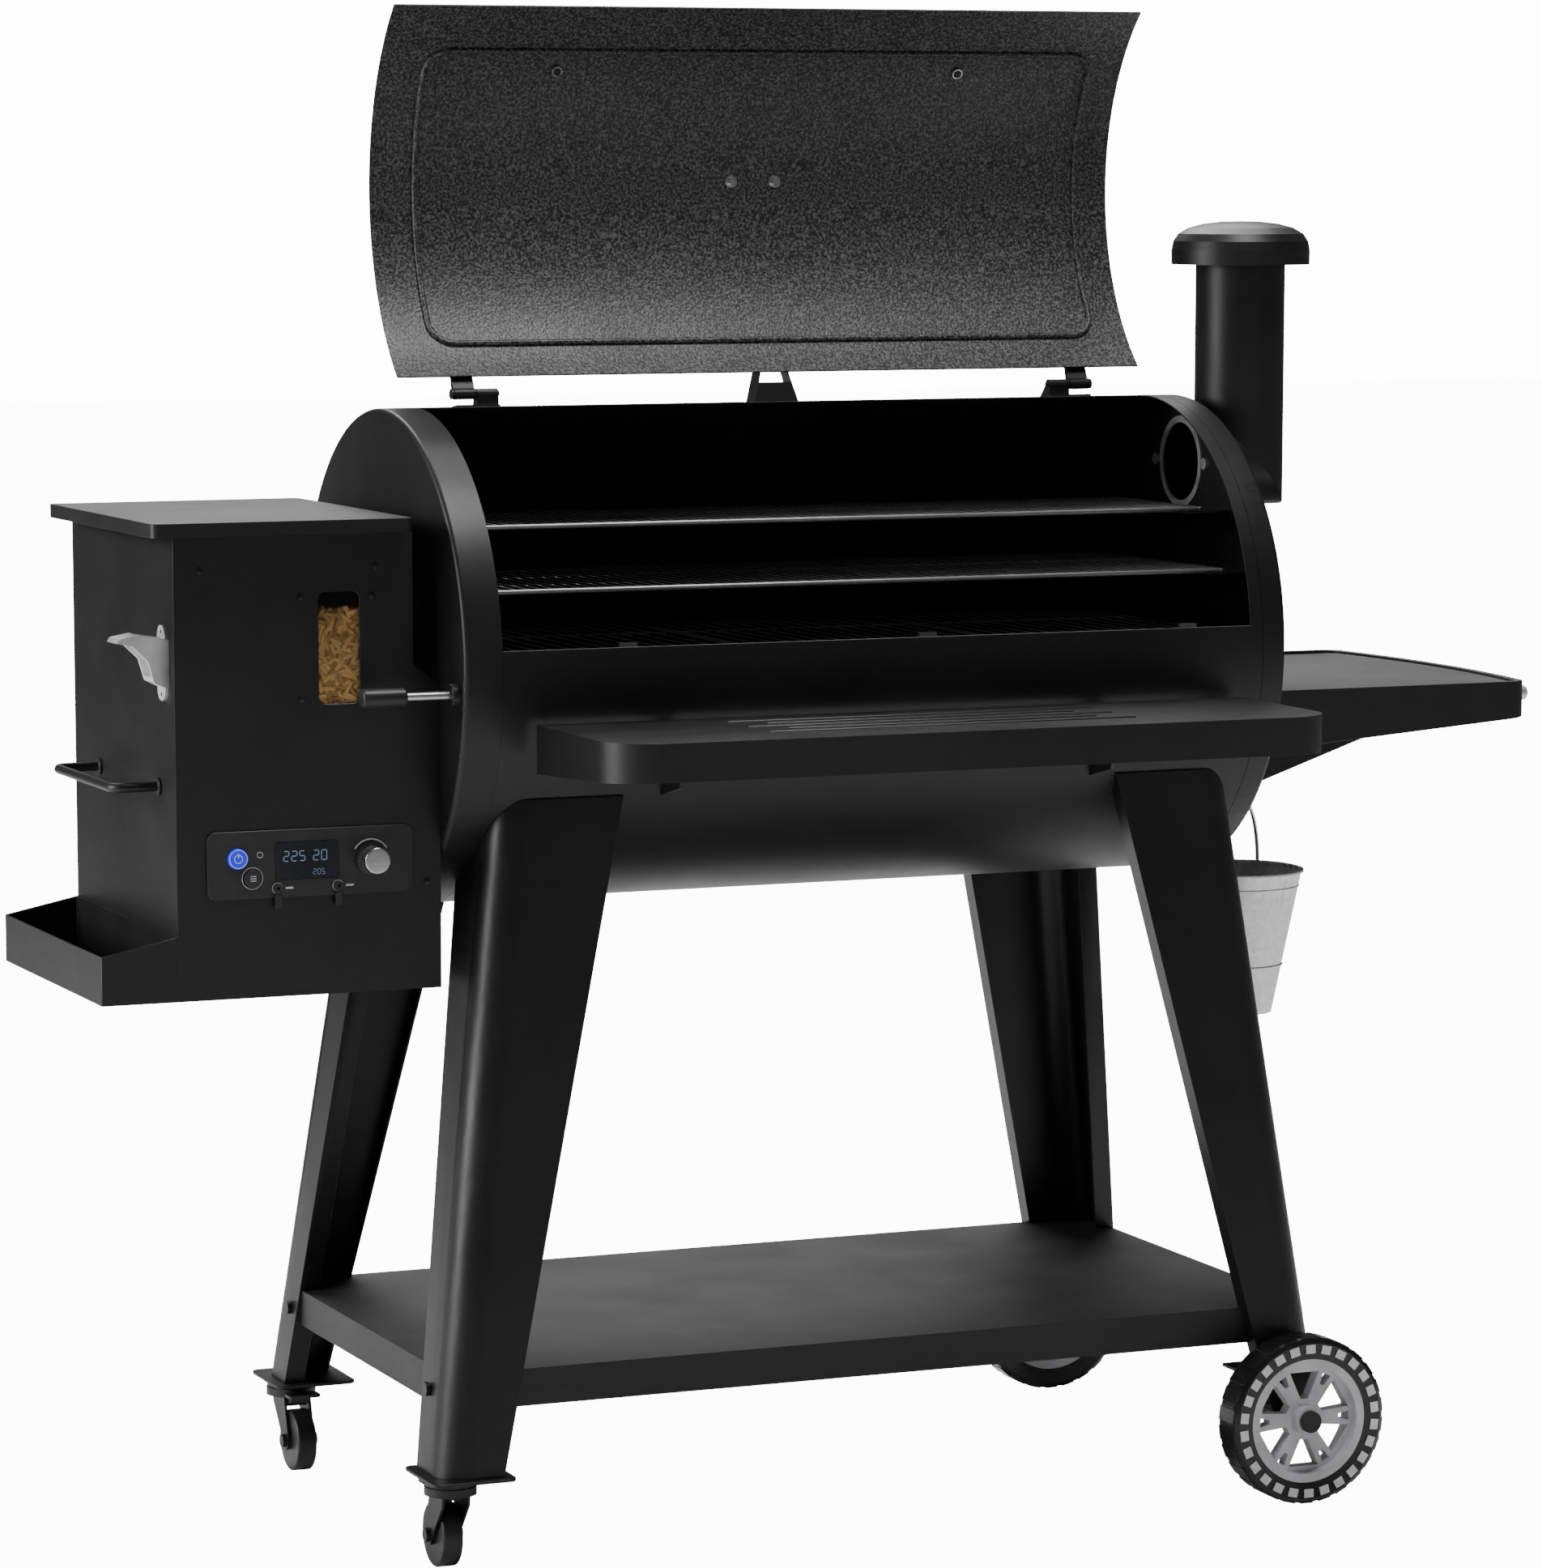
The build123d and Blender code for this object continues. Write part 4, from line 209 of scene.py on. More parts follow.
def joined(name, parts):
    """Joins loose shapes into one object at the origin."""
    bpy.ops.object.select_all(action="DESELECT")
    for part in parts:
        part.select_set(True)
    bpy.context.view_layer.objects.active = parts[0]
    if len(parts) > 1:
        bpy.ops.object.join()
    obj = fresh(bpy.context.object, name)
    apply_place(obj)
    return obj


def fresh(obj, name):
    obj.name = name
    obj.data.name = name
    return obj


def rod(start, end, radius, sides=12, bevel=0.0, name="rod"):
    """Round bar from start to end, its ends softened by a bevel."""
    start, end = Vector(start), Vector(end)
    way = end - start
    bpy.ops.object.select_all(action="DESELECT")
    bpy.ops.mesh.primitive_cylinder_add(
        vertices=sides, radius=radius, depth=way.length, location=(start + end) / 2,
        rotation=way.to_track_quat("Z", "Y").to_euler(),
    )
    obj = apply_place(fresh(bpy.context.object, name))
    if bevel:
        modify(
            obj, "BEVEL", width=bevel, segments=2, limit_method="ANGLE",
            angle_limit=math.radians(50),
        )
    return obj


def slab(low, high, bevel=0.0, name="slab"):
    low, high = Vector(low), Vector(high)
    bpy.ops.object.select_all(action="DESELECT")
    bpy.ops.mesh.primitive_cube_add(size=1, location=(low + high) / 2, scale=high - low)
    obj = apply_place(fresh(bpy.context.object, name))
    if bevel:
        modify(obj, "BEVEL", width=bevel, segments=2, limit_method="ANGLE")
    return obj


def ring(centre, axis, radius, thick, sides=48, name="ring"):
    """Round wire ring about an axis."""
    bpy.ops.object.select_all(action="DESELECT")
    bpy.ops.mesh.primitive_torus_add(
        major_radius=radius, minor_radius=thick, major_segments=sides, minor_segments=8,
        location=centre, rotation=Vector(axis).to_track_quat("Z", "Y").to_euler(),
    )
    return apply_place(fresh(bpy.context.object, name))


def copied(obj, name, offset=(0, 0, 0)):
    """Copy with its own mesh, moved by an offset and settled at the origin."""
    only(obj)
    bpy.ops.object.duplicate()
    twin = fresh(bpy.context.object, name)
    bpy.ops.transform.translate(value=offset)
    return apply_place(twin)


def cad_copy(node, name=None, bevel=0.0, angle=35, segments=2):
    """Cleaned copy of a CAD node with softened edges; it stands for the node."""
    source = NODES[node]
    bpy.ops.object.select_all(action="DESELECT")
    source.hide_set(False)
    source.select_set(True)
    bpy.context.view_layer.objects.active = source
    bpy.ops.object.duplicate()
    obj = fresh(bpy.context.object, name or node + "_finished")
    obj.parent = None
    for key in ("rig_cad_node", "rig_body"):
        if key in obj:
            del obj[key]
    obj.data.materials.clear()
    bpy.ops.object.mode_set(mode="EDIT")
    bpy.ops.mesh.select_all(action="SELECT")
    bpy.ops.mesh.remove_doubles(threshold=0.000002)
    bpy.ops.mesh.customdata_custom_splitnormals_clear()
    bpy.ops.mesh.dissolve_limited(angle_limit=math.radians(0.4))
    bpy.ops.object.mode_set(mode="OBJECT")
    if bevel:
        modify(
            obj, "BEVEL", width=bevel, segments=segments, limit_method="ANGLE",
            angle_limit=math.radians(angle), use_clamp_overlap=True,
        )
    smooth(obj, angle)
    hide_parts(node)
    settle(obj, BODY_OF[node])
    return obj


def settle(obj, body, material=None):
    """Puts a finished piece on its body, with its material when one is given."""
    if material is not None:
        obj.data.materials.clear()
        obj.data.materials.append(material)
    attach(obj, body)
    return obj


def paint(obj, material):
    obj.data.materials.clear()
    obj.data.materials.append(material)
    return obj


# ------------------------------------------------------------------ shader node groups
def node(tree, kind, at=(0, 0), **values):
    made = tree.nodes.new(kind)
    made.location = at
    for key, value in values.items():
        setattr(made, key, value)
    return made


def new_group(name, inputs, outputs):
    """Empty shader group with named sockets; inputs are (name, type, default)."""
    tree = bpy.data.node_groups.new(name, "ShaderNodeTree")
    for label, kind, default in inputs:
        socket = tree.interface.new_socket(label, in_out="INPUT", socket_type=kind)
        socket.default_value = default
    for label, kind in outputs:
        tree.interface.new_socket(label, in_out="OUTPUT", socket_type=kind)
    return tree, node(tree, "NodeGroupInput", (-900, 0)), node(tree, "NodeGroupOutput", (700, 0))


def grain_group():
    """Fine orange-peel height and a slow mottle, both on Object coordinates."""
    tree, given, out = new_group(
        "Fine Grain",
        [("Scale", "NodeSocketFloat", 900.0), ("Mottle Scale", "NodeSocketFloat", 6.0)],
        [("Height", "NodeSocketFloat"), ("Mottle", "NodeSocketFloat")],
    )
    place = node(tree, "ShaderNodeTexCoord", (-900, 300))
    fine = node(tree, "ShaderNodeTexNoise", (-500, 300))
    fine.inputs["Detail"].default_value = 2.5
    slow = node(tree, "ShaderNodeTexNoise", (-500, -50))
    slow.inputs["Detail"].default_value = 5.0
    slow.inputs["Roughness"].default_value = 0.6
    spread = node(tree, "ShaderNodeMapRange", (-200, -50))
    spread.inputs["From Min"].default_value = 0.3
    spread.inputs["From Max"].default_value = 0.7
    link = tree.links.new
    link(place.outputs["Object"], fine.inputs["Vector"])
    link(place.outputs["Object"], slow.inputs["Vector"])
    link(given.outputs["Scale"], fine.inputs["Scale"])
    link(given.outputs["Mottle Scale"], slow.inputs["Scale"])
    link(slow.outputs["Fac"], spread.inputs["Value"])
    link(fine.outputs["Fac"], out.inputs["Height"])
    link(spread.outputs["Result"], out.inputs["Mottle"])
    return tree


def dust_and_top_light_group():
    """Mask of dust and painted top light: strongest on upward faces, broken up by noise."""
    tree, given, out = new_group(
        "Dust And Top Light", [("Amount", "NodeSocketFloat", 0.2)], [("Mask", "NodeSocketFloat")]
    )
    shape = node(tree, "ShaderNodeNewGeometry", (-900, 300))
    split = node(tree, "ShaderNodeSeparateXYZ", (-700, 300))
    up = node(tree, "ShaderNodeMapRange", (-500, 300))
    up.inputs["From Min"].default_value = 0.2
    place = node(tree, "ShaderNodeTexCoord", (-900, -100))
    noise = node(tree, "ShaderNodeTexNoise", (-700, -100))
    noise.inputs["Scale"].default_value = 9.0
    noise.inputs["Detail"].default_value = 8.0
    patch = node(tree, "ShaderNodeMapRange", (-500, -100))
    patch.inputs["From Min"].default_value = 0.35
    patch.inputs["From Max"].default_value = 0.75
    both = node(tree, "ShaderNodeMath", (-250, 100), operation="MULTIPLY")
    level = node(tree, "ShaderNodeMath", (0, 100), operation="MULTIPLY", use_clamp=True)
    link = tree.links.new
    link(shape.outputs["Normal"], split.inputs["Vector"])
    link(split.outputs["Z"], up.inputs["Value"])
    link(place.outputs["Object"], noise.inputs["Vector"])
    link(noise.outputs["Fac"], patch.inputs["Value"])
    link(up.outputs["Result"], both.inputs[0])
    link(patch.outputs["Result"], both.inputs[1])
    link(both.outputs["Value"], level.inputs[0])
    link(given.outputs["Amount"], level.inputs[1])
    link(level.outputs["Value"], out.inputs["Mask"])
    return tree


def brushed_group():
    """Long thin streaks along one object axis, for brushed and drawn metal."""
    tree, given, out = new_group(
        "Brushed Lines",
        [("Stretch", "NodeSocketVector", (4.0, 400.0, 400.0))],
        [("Line", "NodeSocketFloat")],
    )
    place = node(tree, "ShaderNodeTexCoord", (-900, 300))
    scaled = node(tree, "ShaderNodeVectorMath", (-600, 200), operation="MULTIPLY")
    noise = node(tree, "ShaderNodeTexNoise", (-300, 200))
    noise.inputs["Scale"].default_value = 1.0
    noise.inputs["Detail"].default_value = 3.0
    link = tree.links.new
    link(place.outputs["Object"], scaled.inputs[0])
    link(given.outputs["Stretch"], scaled.inputs[1])
    link(scaled.outputs["Vector"], noise.inputs["Vector"])
    link(noise.outputs["Fac"], out.inputs["Line"])
    return tree


def scuff_group():
    """Sparse hairline scuffs: a thin band of a stretched noise."""
    tree, given, out = new_group(
        "Hairline Scuffs", [("Scale", "NodeSocketFloat", 14.0)], [("Mask", "NodeSocketFloat")]
    )
    place = node(tree, "ShaderNodeTexCoord", (-900, 300))
    warp = node(tree, "ShaderNodeMapping", (-700, 300))
    warp.inputs["Rotation"].default_value = (0.4, 0.9, 0.3)
    warp.inputs["Scale"].default_value = (1.0, 5.0, 9.0)
    noise = node(tree, "ShaderNodeTexNoise", (-450, 300))
    noise.inputs["Detail"].default_value = 9.0
    noise.inputs["Roughness"].default_value = 0.7
    band = node(tree, "ShaderNodeMapRange", (-200, 300))
    band.inputs["From Min"].default_value = 0.66
    band.inputs["From Max"].default_value = 0.74
    link = tree.links.new
    link(place.outputs["Object"], warp.inputs["Vector"])
    link(warp.outputs["Vector"], noise.inputs["Vector"])
    link(given.outputs["Scale"], noise.inputs["Scale"])
    link(noise.outputs["Fac"], band.inputs["Value"])
    link(band.outputs["Result"], out.inputs["Mask"])
    return tree


GROUPS = {}


def group(name):
    makers = {
        "grain": grain_group, "dust_and_top_light": dust_and_top_light_group, "brushed": brushed_group, "scuffs": scuff_group
    }
    if name not in GROUPS:
        GROUPS[name] = makers[name]()
    return GROUPS[name]


def grouped(tree, name, at, **values):
    made = node(tree, "ShaderNodeGroup", at)
    made.node_tree = group(name)
    for key, value in values.items():
        made.inputs[key.replace("_", " ").title()].default_value = value
    return made


# ------------------------------------------------------------------ materials
def plain(name, colour, roughness, metallic=0.0):
    material = bpy.data.materials.new(name)
    material.use_nodes = True
    surface = material.node_tree.nodes["Principled BSDF"]
    surface.inputs["Base Color"].default_value = (*colour, 1)
    surface.inputs["Roughness"].default_value = roughness
    surface.inputs["Metallic"].default_value = metallic
    return material, material.node_tree, surface


def mixed(tree, mask, low, high, at):
    """Colour between two, by a mask socket."""
    made = node(tree, "ShaderNodeMix", at, data_type="RGBA")
    tree.links.new(mask, made.inputs["Factor"])
    for socket, colour in ((made.inputs[6], low), (made.inputs[7], high)):
        if isinstance(colour, bpy.types.NodeSocket):
            tree.links.new(colour, socket)
        else:
            socket.default_value = (*colour, 1)
    return made.outputs[2]


def ranged(tree, value, low, high, at):
    made = node(tree, "ShaderNodeMapRange", at)
    made.inputs["To Min"].default_value = low
    made.inputs["To Max"].default_value = high
    tree.links.new(value, made.inputs["Value"])
    return made.outputs["Result"]


def bumped(tree, surface, height, strength, distance, at=(-250, -350)):
    made = node(tree, "ShaderNodeBump", at)
    made.inputs["Strength"].default_value = strength
    made.inputs["Distance"].default_value = distance
    tree.links.new(height, made.inputs["Height"])
    tree.links.new(made.outputs["Normal"], surface.inputs["Normal"])
    return made


def shade(colour, factor):
    return tuple(min(1.0, c * factor) for c in colour)


def coat(name, colour, roughness, scale=700.0, strength=0.18, dust_and_top_light=0.10, specular=0.5):
    """Powder coat: orange-peel grain, slow mottle, scuffs, and dust with painted top light paling
    the upward faces.
    """
    material, tree, surface = plain(name, colour, roughness)
    surface.inputs["Specular IOR Level"].default_value = specular
    grain = grouped(tree, "grain", (-1100, 100), scale=scale, mottle_scale=5.0)
    dust_light_mask = grouped(tree, "dust_and_top_light", (-1100, -150), amount=dust_and_top_light)
    scuffs = grouped(tree, "scuffs", (-1100, -300), scale=11.0)
    base = mixed(
        tree, grain.outputs["Mottle"], shade(colour, 0.8), shade(colour, 1.25), (-800, 200)
    )
    # pale colour on upward faces: dust and painted top light
    base = mixed(tree, dust_light_mask.outputs["Mask"], base, (0.16, 0.155, 0.15), (-550, 200))
    tree.links.new(base, surface.inputs["Base Color"])
    level = ranged(tree, grain.outputs["Mottle"], roughness - 0.05, roughness + 0.05, (-800, -50))
    rub = node(tree, "ShaderNodeMath", (-550, -100), operation="MULTIPLY_ADD")
    rub.inputs[1].default_value = 0.16
    tree.links.new(scuffs.outputs["Mask"], rub.inputs[0])
    tree.links.new(level, rub.inputs[2])
    tree.links.new(rub.outputs["Value"], surface.inputs["Roughness"])
    bumped(tree, surface, grain.outputs["Height"], strength, 0.0004)
    return material


def enamel(name, dark, pale):
    """Thick speckled enamel: pale grains in a dark ground, pebbled all over."""
    material, tree, surface = plain(name, dark, 0.42)
    grain = grouped(tree, "grain", (-1000, 100), scale=330.0, mottle_scale=7.0)
    speck = node(tree, "ShaderNodeMapRange", (-750, 100))
    speck.inputs["From Min"].default_value = 0.42
    speck.inputs["From Max"].default_value = 0.68
    tree.links.new(grain.outputs["Height"], speck.inputs["Value"])
    base = mixed(tree, speck.outputs["Result"], dark, pale, (-450, 200))
    tree.links.new(base, surface.inputs["Base Color"])
    level = ranged(tree, grain.outputs["Mottle"], 0.36, 0.5, (-750, -100))
    tree.links.new(level, surface.inputs["Roughness"])
    bumped(tree, surface, grain.outputs["Height"], 0.7, 0.0009)
    return material


def metal(name, colour, roughness, stretch=(4.0, 400.0, 400.0), strength=0.12):
    """Bare metal with drawn lines and slight tarnish."""
    material, tree, surface = plain(name, colour, roughness, 1.0)
    lines = grouped(tree, "brushed", (-1000, 100), stretch=stretch)
    grain = grouped(tree, "grain", (-1000, -100), scale=500.0, mottle_scale=30.0)
    base = mixed(
        tree, grain.outputs["Mottle"], shade(colour, 0.82), shade(colour, 1.06), (-600, 200)
    )
    tree.links.new(base, surface.inputs["Base Color"])
    level = ranged(tree, lines.outputs["Line"], roughness - 0.1, roughness + 0.12, (-600, -50))
    tree.links.new(level, surface.inputs["Roughness"])
    bumped(tree, surface, lines.outputs["Line"], strength, 0.0002)
    return material


def tin(name, colour):
    """Galvanised sheet with a faint crystal spangle."""
    material, tree, surface = plain(name, colour, 0.35, 0.55)
    place = node(tree, "ShaderNodeTexCoord", (-1300, 0))
    cells = node(tree, "ShaderNodeTexVoronoi", (-1100, 0))
    cells.inputs["Scale"].default_value = 130.0
    tree.links.new(place.outputs["Object"], cells.inputs["Vector"])
    tone = node(tree, "ShaderNodeSeparateColor", (-900, 0))
    tree.links.new(cells.outputs["Color"], tone.inputs["Color"])
    base = mixed(tree, tone.outputs["Red"], shade(colour, 0.86), shade(colour, 1.04), (-600, 200))
    tree.links.new(base, surface.inputs["Base Color"])
    level = ranged(tree, tone.outputs["Green"], 0.26, 0.42, (-600, -50))
    tree.links.new(level, surface.inputs["Roughness"])
    grain = grouped(tree, "grain", (-1100, -300), scale=300.0, mottle_scale=20.0)
    bumped(tree, surface, grain.outputs["Height"], 0.08, 0.0003)
    return material


def moulded(name, colour, roughness, scale=450.0, strength=0.25, dust_and_top_light=0.12):
    """Moulded plastic or rubber with a fine texture, and dust with painted top light paling the
    upward faces.
    """
    material, tree, surface = plain(name, colour, roughness)
    grain = grouped(tree, "grain", (-1000, 0), scale=scale, mottle_scale=14.0)
    dust_light_mask = grouped(tree, "dust_and_top_light", (-1000, -200), amount=dust_and_top_light)
    base = mixed(
        tree, grain.outputs["Mottle"], shade(colour, 0.8), shade(colour, 1.25), (-700, 200)
    )
    # pale colour on upward faces: dust and painted top light
    base = mixed(tree, dust_light_mask.outputs["Mask"], base, (0.2, 0.19, 0.18), (-450, 200))
    tree.links.new(base, surface.inputs["Base Color"])
    level = ranged(tree, grain.outputs["Mottle"], roughness - 0.08, roughness + 0.08, (-700, -50))
    tree.links.new(level, surface.inputs["Roughness"])
    bumped(tree, surface, grain.outputs["Height"], strength, 0.0004)
    return material


def glowing(name, colour, power):
    material, tree, surface = plain(name, shade(colour, 0.5), 0.3)
    surface.inputs["Emission Strength"].default_value = power
    grain = grouped(tree, "grain", (-900, 0), scale=260.0, mottle_scale=80.0)
    light = mixed(tree, grain.outputs["Mottle"], shade(colour, 0.85), colour, (-500, 0))
    tree.links.new(light, surface.inputs["Emission Color"])
    return material


def clear(name, tint, roughness):
    material, tree, surface = plain(name, tint, roughness)
    surface.inputs["Transmission Weight"].default_value = 1.0
    surface.inputs["IOR"].default_value = 1.3
    grain = grouped(tree, "grain", (-900, 0), scale=60.0, mottle_scale=24.0)
    level = ranged(tree, grain.outputs["Mottle"], roughness, roughness + 0.06, (-500, 0))
    tree.links.new(level, surface.inputs["Roughness"])
    return material


PAINTS = {}


def make_paints():
    f = finish_values()
    black = tuple(f.coat_colour)
    steel = tuple(f.steel_colour)
    PAINTS.update(
        coat=coat("Black Powder Coat", black, f.coat_roughness),
        shelf=coat("Textured Shelf Coat", shade(black, 1.7), 0.5, 420.0, 0.45, 0.2),
        side_top=coat("Side Shelf Coat", shade(black, 4.5), 0.5, 420.0, 0.45, 0.25),
        leg=coat("Satin Leg Coat", black, 0.38, 700.0, 0.14, 0.06),
        lid_inside=enamel("Lid Inner Enamel", shade(black, 1.6), (0.16, 0.16, 0.158)),
        # light grey squares on the tyre sides: painted highlights
        pane=moulded("Tyre Painted Glint", (0.85, 0.85, 0.85), 0.25, 300.0, 0.05, 0.0),
        ring=metal("Flue Ring Steel", (0.85, 0.85, 0.85), 0.5, (60.0, 60.0, 60.0)),
        # darker, rougher coat: painted shade inside the barrel, also on the fire pot and drip tray
        chamber=coat("Chamber Painted Shade Coat", shade(black, 0.5), 0.62, 300.0, 0.4, 0.04),
        iron=moulded("Enamelled Cast Iron", (0.012, 0.012, 0.012), 0.33, 240.0, 0.5, 0.03),
        steel=metal("Brushed Steel", steel, 0.27),
        wire=metal("Rack Wire", shade(steel, 0.32), 0.4, (300.0, 300.0, 4.0)),
        # paler copy of the rack wire for the front wire and pins: painted highlight
        bright_wire=metal("Rack Wire Painted Highlight", shade(steel, 0.5), 0.42, (4.0, 300.0, 300.0)),
        chrome=metal("Polished Chrome", (0.82, 0.82, 0.83), 0.12, (200.0, 4.0, 200.0), 0.04),
        tin=tin("Tinned Bucket", tuple(f.bucket_colour)),
        galvanised=tin("Galvanised Sheet", (0.45, 0.46, 0.47)),
        pellet=moulded("Wood Pellet", tuple(f.pellet_colour), 0.7, 900.0, 0.6, 0.0),
        # darker pellets, and painted shade on the bed behind the loose pellets
        pellet_dark=moulded("Dark Wood Pellet And Painted Shade", shade(f.pellet_colour, 0.6), 0.72, 900.0, 0.6, 0.0),
        rim=moulded("Grey Rim Plastic", tuple(f.rim_colour), 0.45, 600.0, 0.15, 0.05),
        tyre=moulded("Wheel Tyre", (0.012, 0.012, 0.012), 0.22, 350.0, 0.2, 0.02),
        rubber=moulded("Caster Rubber", (0.014, 0.014, 0.014), 0.4, 500.0, 0.3, 0.05),
        plastic=moulded("Panel Plastic", (0.022, 0.022, 0.023), 0.42, 800.0, 0.2, 0.03),
        gloss=moulded("Dark Lens", (0.012, 0.014, 0.018), 0.16, 60.0, 0.02, 0.0),
        print=moulded("White Print", (0.62, 0.62, 0.62), 0.5, 500.0, 0.1, 0.0),
        blue=glowing("Lit Button", tuple(f.lamp_colour), 0.8),
        digits=glowing("Display Digits", (0.2, 0.32, 0.52), 0.5),
        glass=clear("Hopper Window", (0.93, 0.95, 0.96), 0.03),
    )


# ------------------------------------------------------------------ pieces
def paint_node(node_name, material):
    """Gives a CAD node that keeps its shape its material."""
    obj = NODES[node_name]
    if not obj.material_slots:
        obj.data.materials.append(material)
    for slot in obj.material_slots:
        slot.material = material


def second_material(obj, material, wanted):
    """Faces that pass the test get this material as well as the first."""
    obj.data.materials.append(material)
    index = len(obj.data.materials) - 1
    for face in obj.data.polygons:
        if wanted(face.center, face.normal):
            face.material_index = index


SHEET_NODES = {
    "barrel_shell": "coat", "left_cap": "coat", "right_cap": "coat", "hopper_body": "coat",
    "hopper_lid": "coat", "side_tray": "coat", "side_shelf": "coat", "front_shelf": "coat",
    "lower_shelf": "shelf", "legs": "leg", "control_panel": "plastic", "side_handle": "coat",
    "shelf_brackets": "coat", "hinge_brackets": "coat", "foot_plates": "coat",
}
KEPT_NODES = {
    "flue_ring": "ring", "chimney_pipe": "coat", "chimney_cap": "coat", "lid_handle": "steel",
    "lid_badge": "steel", "tool_hooks": "ring", "pellet_chute": "galvanised",
    "hopper_window": "glass", "hopper_hinge": "coat", "bottle_opener": "ring",
    "panel_display": "gloss", "auger_tube": "galvanised", "auger_motor": "galvanised",
    "auger": "steel", "fan_housing": "galvanised", "fan_wheel": "plastic", "fire_pot": "chamber",
    "drip_tray": "chamber", "broiler_plate": "steel", "cooking_grates": "iron",
    "rack_supports": "wire", "bail": "chrome", "fasteners": "coat", "wheel_axles": "coat",
    "front_rim": "rim", "back_rim": "rim", "front_caster_fork": "coat", "back_caster_fork": "coat",
    "front_caster_wheel": "rubber", "back_caster_wheel": "rubber", "front_brake": "plastic",
    "back_brake": "plastic", "probe_jacks": "plastic", "mode_button": "plastic",
    "power_button": "blue", "front_tyre": "tyre", "back_tyre": "tyre",
}


class GRILL_OT_materials(bpy.types.Operator):
    """Makes every finish from the panel's colours"""
    bl_idname = "grill.materials"
    bl_label = "Finishes"

    def execute(self, context):
        make_paints()
        return {"FINISHED"}


class GRILL_OT_sheet_metal(bpy.types.Operator):
    """Folded sheet parts with softened edges, and the parts that keep their CAD shape"""
    bl_idname = "grill.sheet_metal"
    bl_label = "Sheet Metal"

    def execute(self, context):
        for node_name, finish in SHEET_NODES.items():
            paint(cad_copy(node_name, bevel=sizes().sheet_bevel, segments=1), PAINTS[finish])
        for node_name, finish in KEPT_NODES.items():
            paint_node(node_name, PAINTS[finish])
        self.inner_faces()
        return {"FINISHED"}

    def inner_faces(self):
        """Painted shade: darker, rougher coat on the inside of the barrel and caps; textured tops
        of the shelves.
        """
        radius = (SHELL[1].z - SHELL[0].z) / 2 - 0.001
        inside = (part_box("left_cap")[0].x + 0.012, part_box("right_cap")[1].x - 0.0015)

        def shaded_inside(centre, normal):
            across = math.hypot(centre.y - AXIS_Y, centre.z - AXIS_Z)
            outward = (centre.y - AXIS_Y) * normal.y + (centre.z - AXIS_Z) * normal.z
            flat = abs(normal.x) > 0.9 and (centre.x - AXIS_X) * normal.x < 0
            return inside[0] < centre.x < inside[1] and across < radius and (outward < 0 or flat)

        for name in ("barrel_shell", "left_cap", "right_cap"):
            second_material(bpy.data.objects[name + "_finished"], PAINTS["chamber"], shaded_inside)
        second_material(
            bpy.data.objects["side_shelf_finished"], PAINTS["side_top"], lambda c, n: n.z > 0.9
        )


# the open lid, in millimetres: its axis, inner radius and middle, and its bolts
LID_Y, LID_Z, LID_R = -147.5, 1544.2, 287.0
LID_MIDDLE = 3.25
BADGE_MIDDLE, BADGE_BOLT, BADGE_TURN = 10.25, 28, 2.1
HANDLE_BOLT, HANDLE_TURN = 258, 29.3


def on_lid(x, degrees, depth=0.0):
    """Place on the open lid's inner face, depth millimetres towards its axis."""
    angle = math.radians(degrees)
    r = LID_R - depth
    return at(x, LID_Y + r * math.cos(angle), LID_Z + r * math.sin(angle))


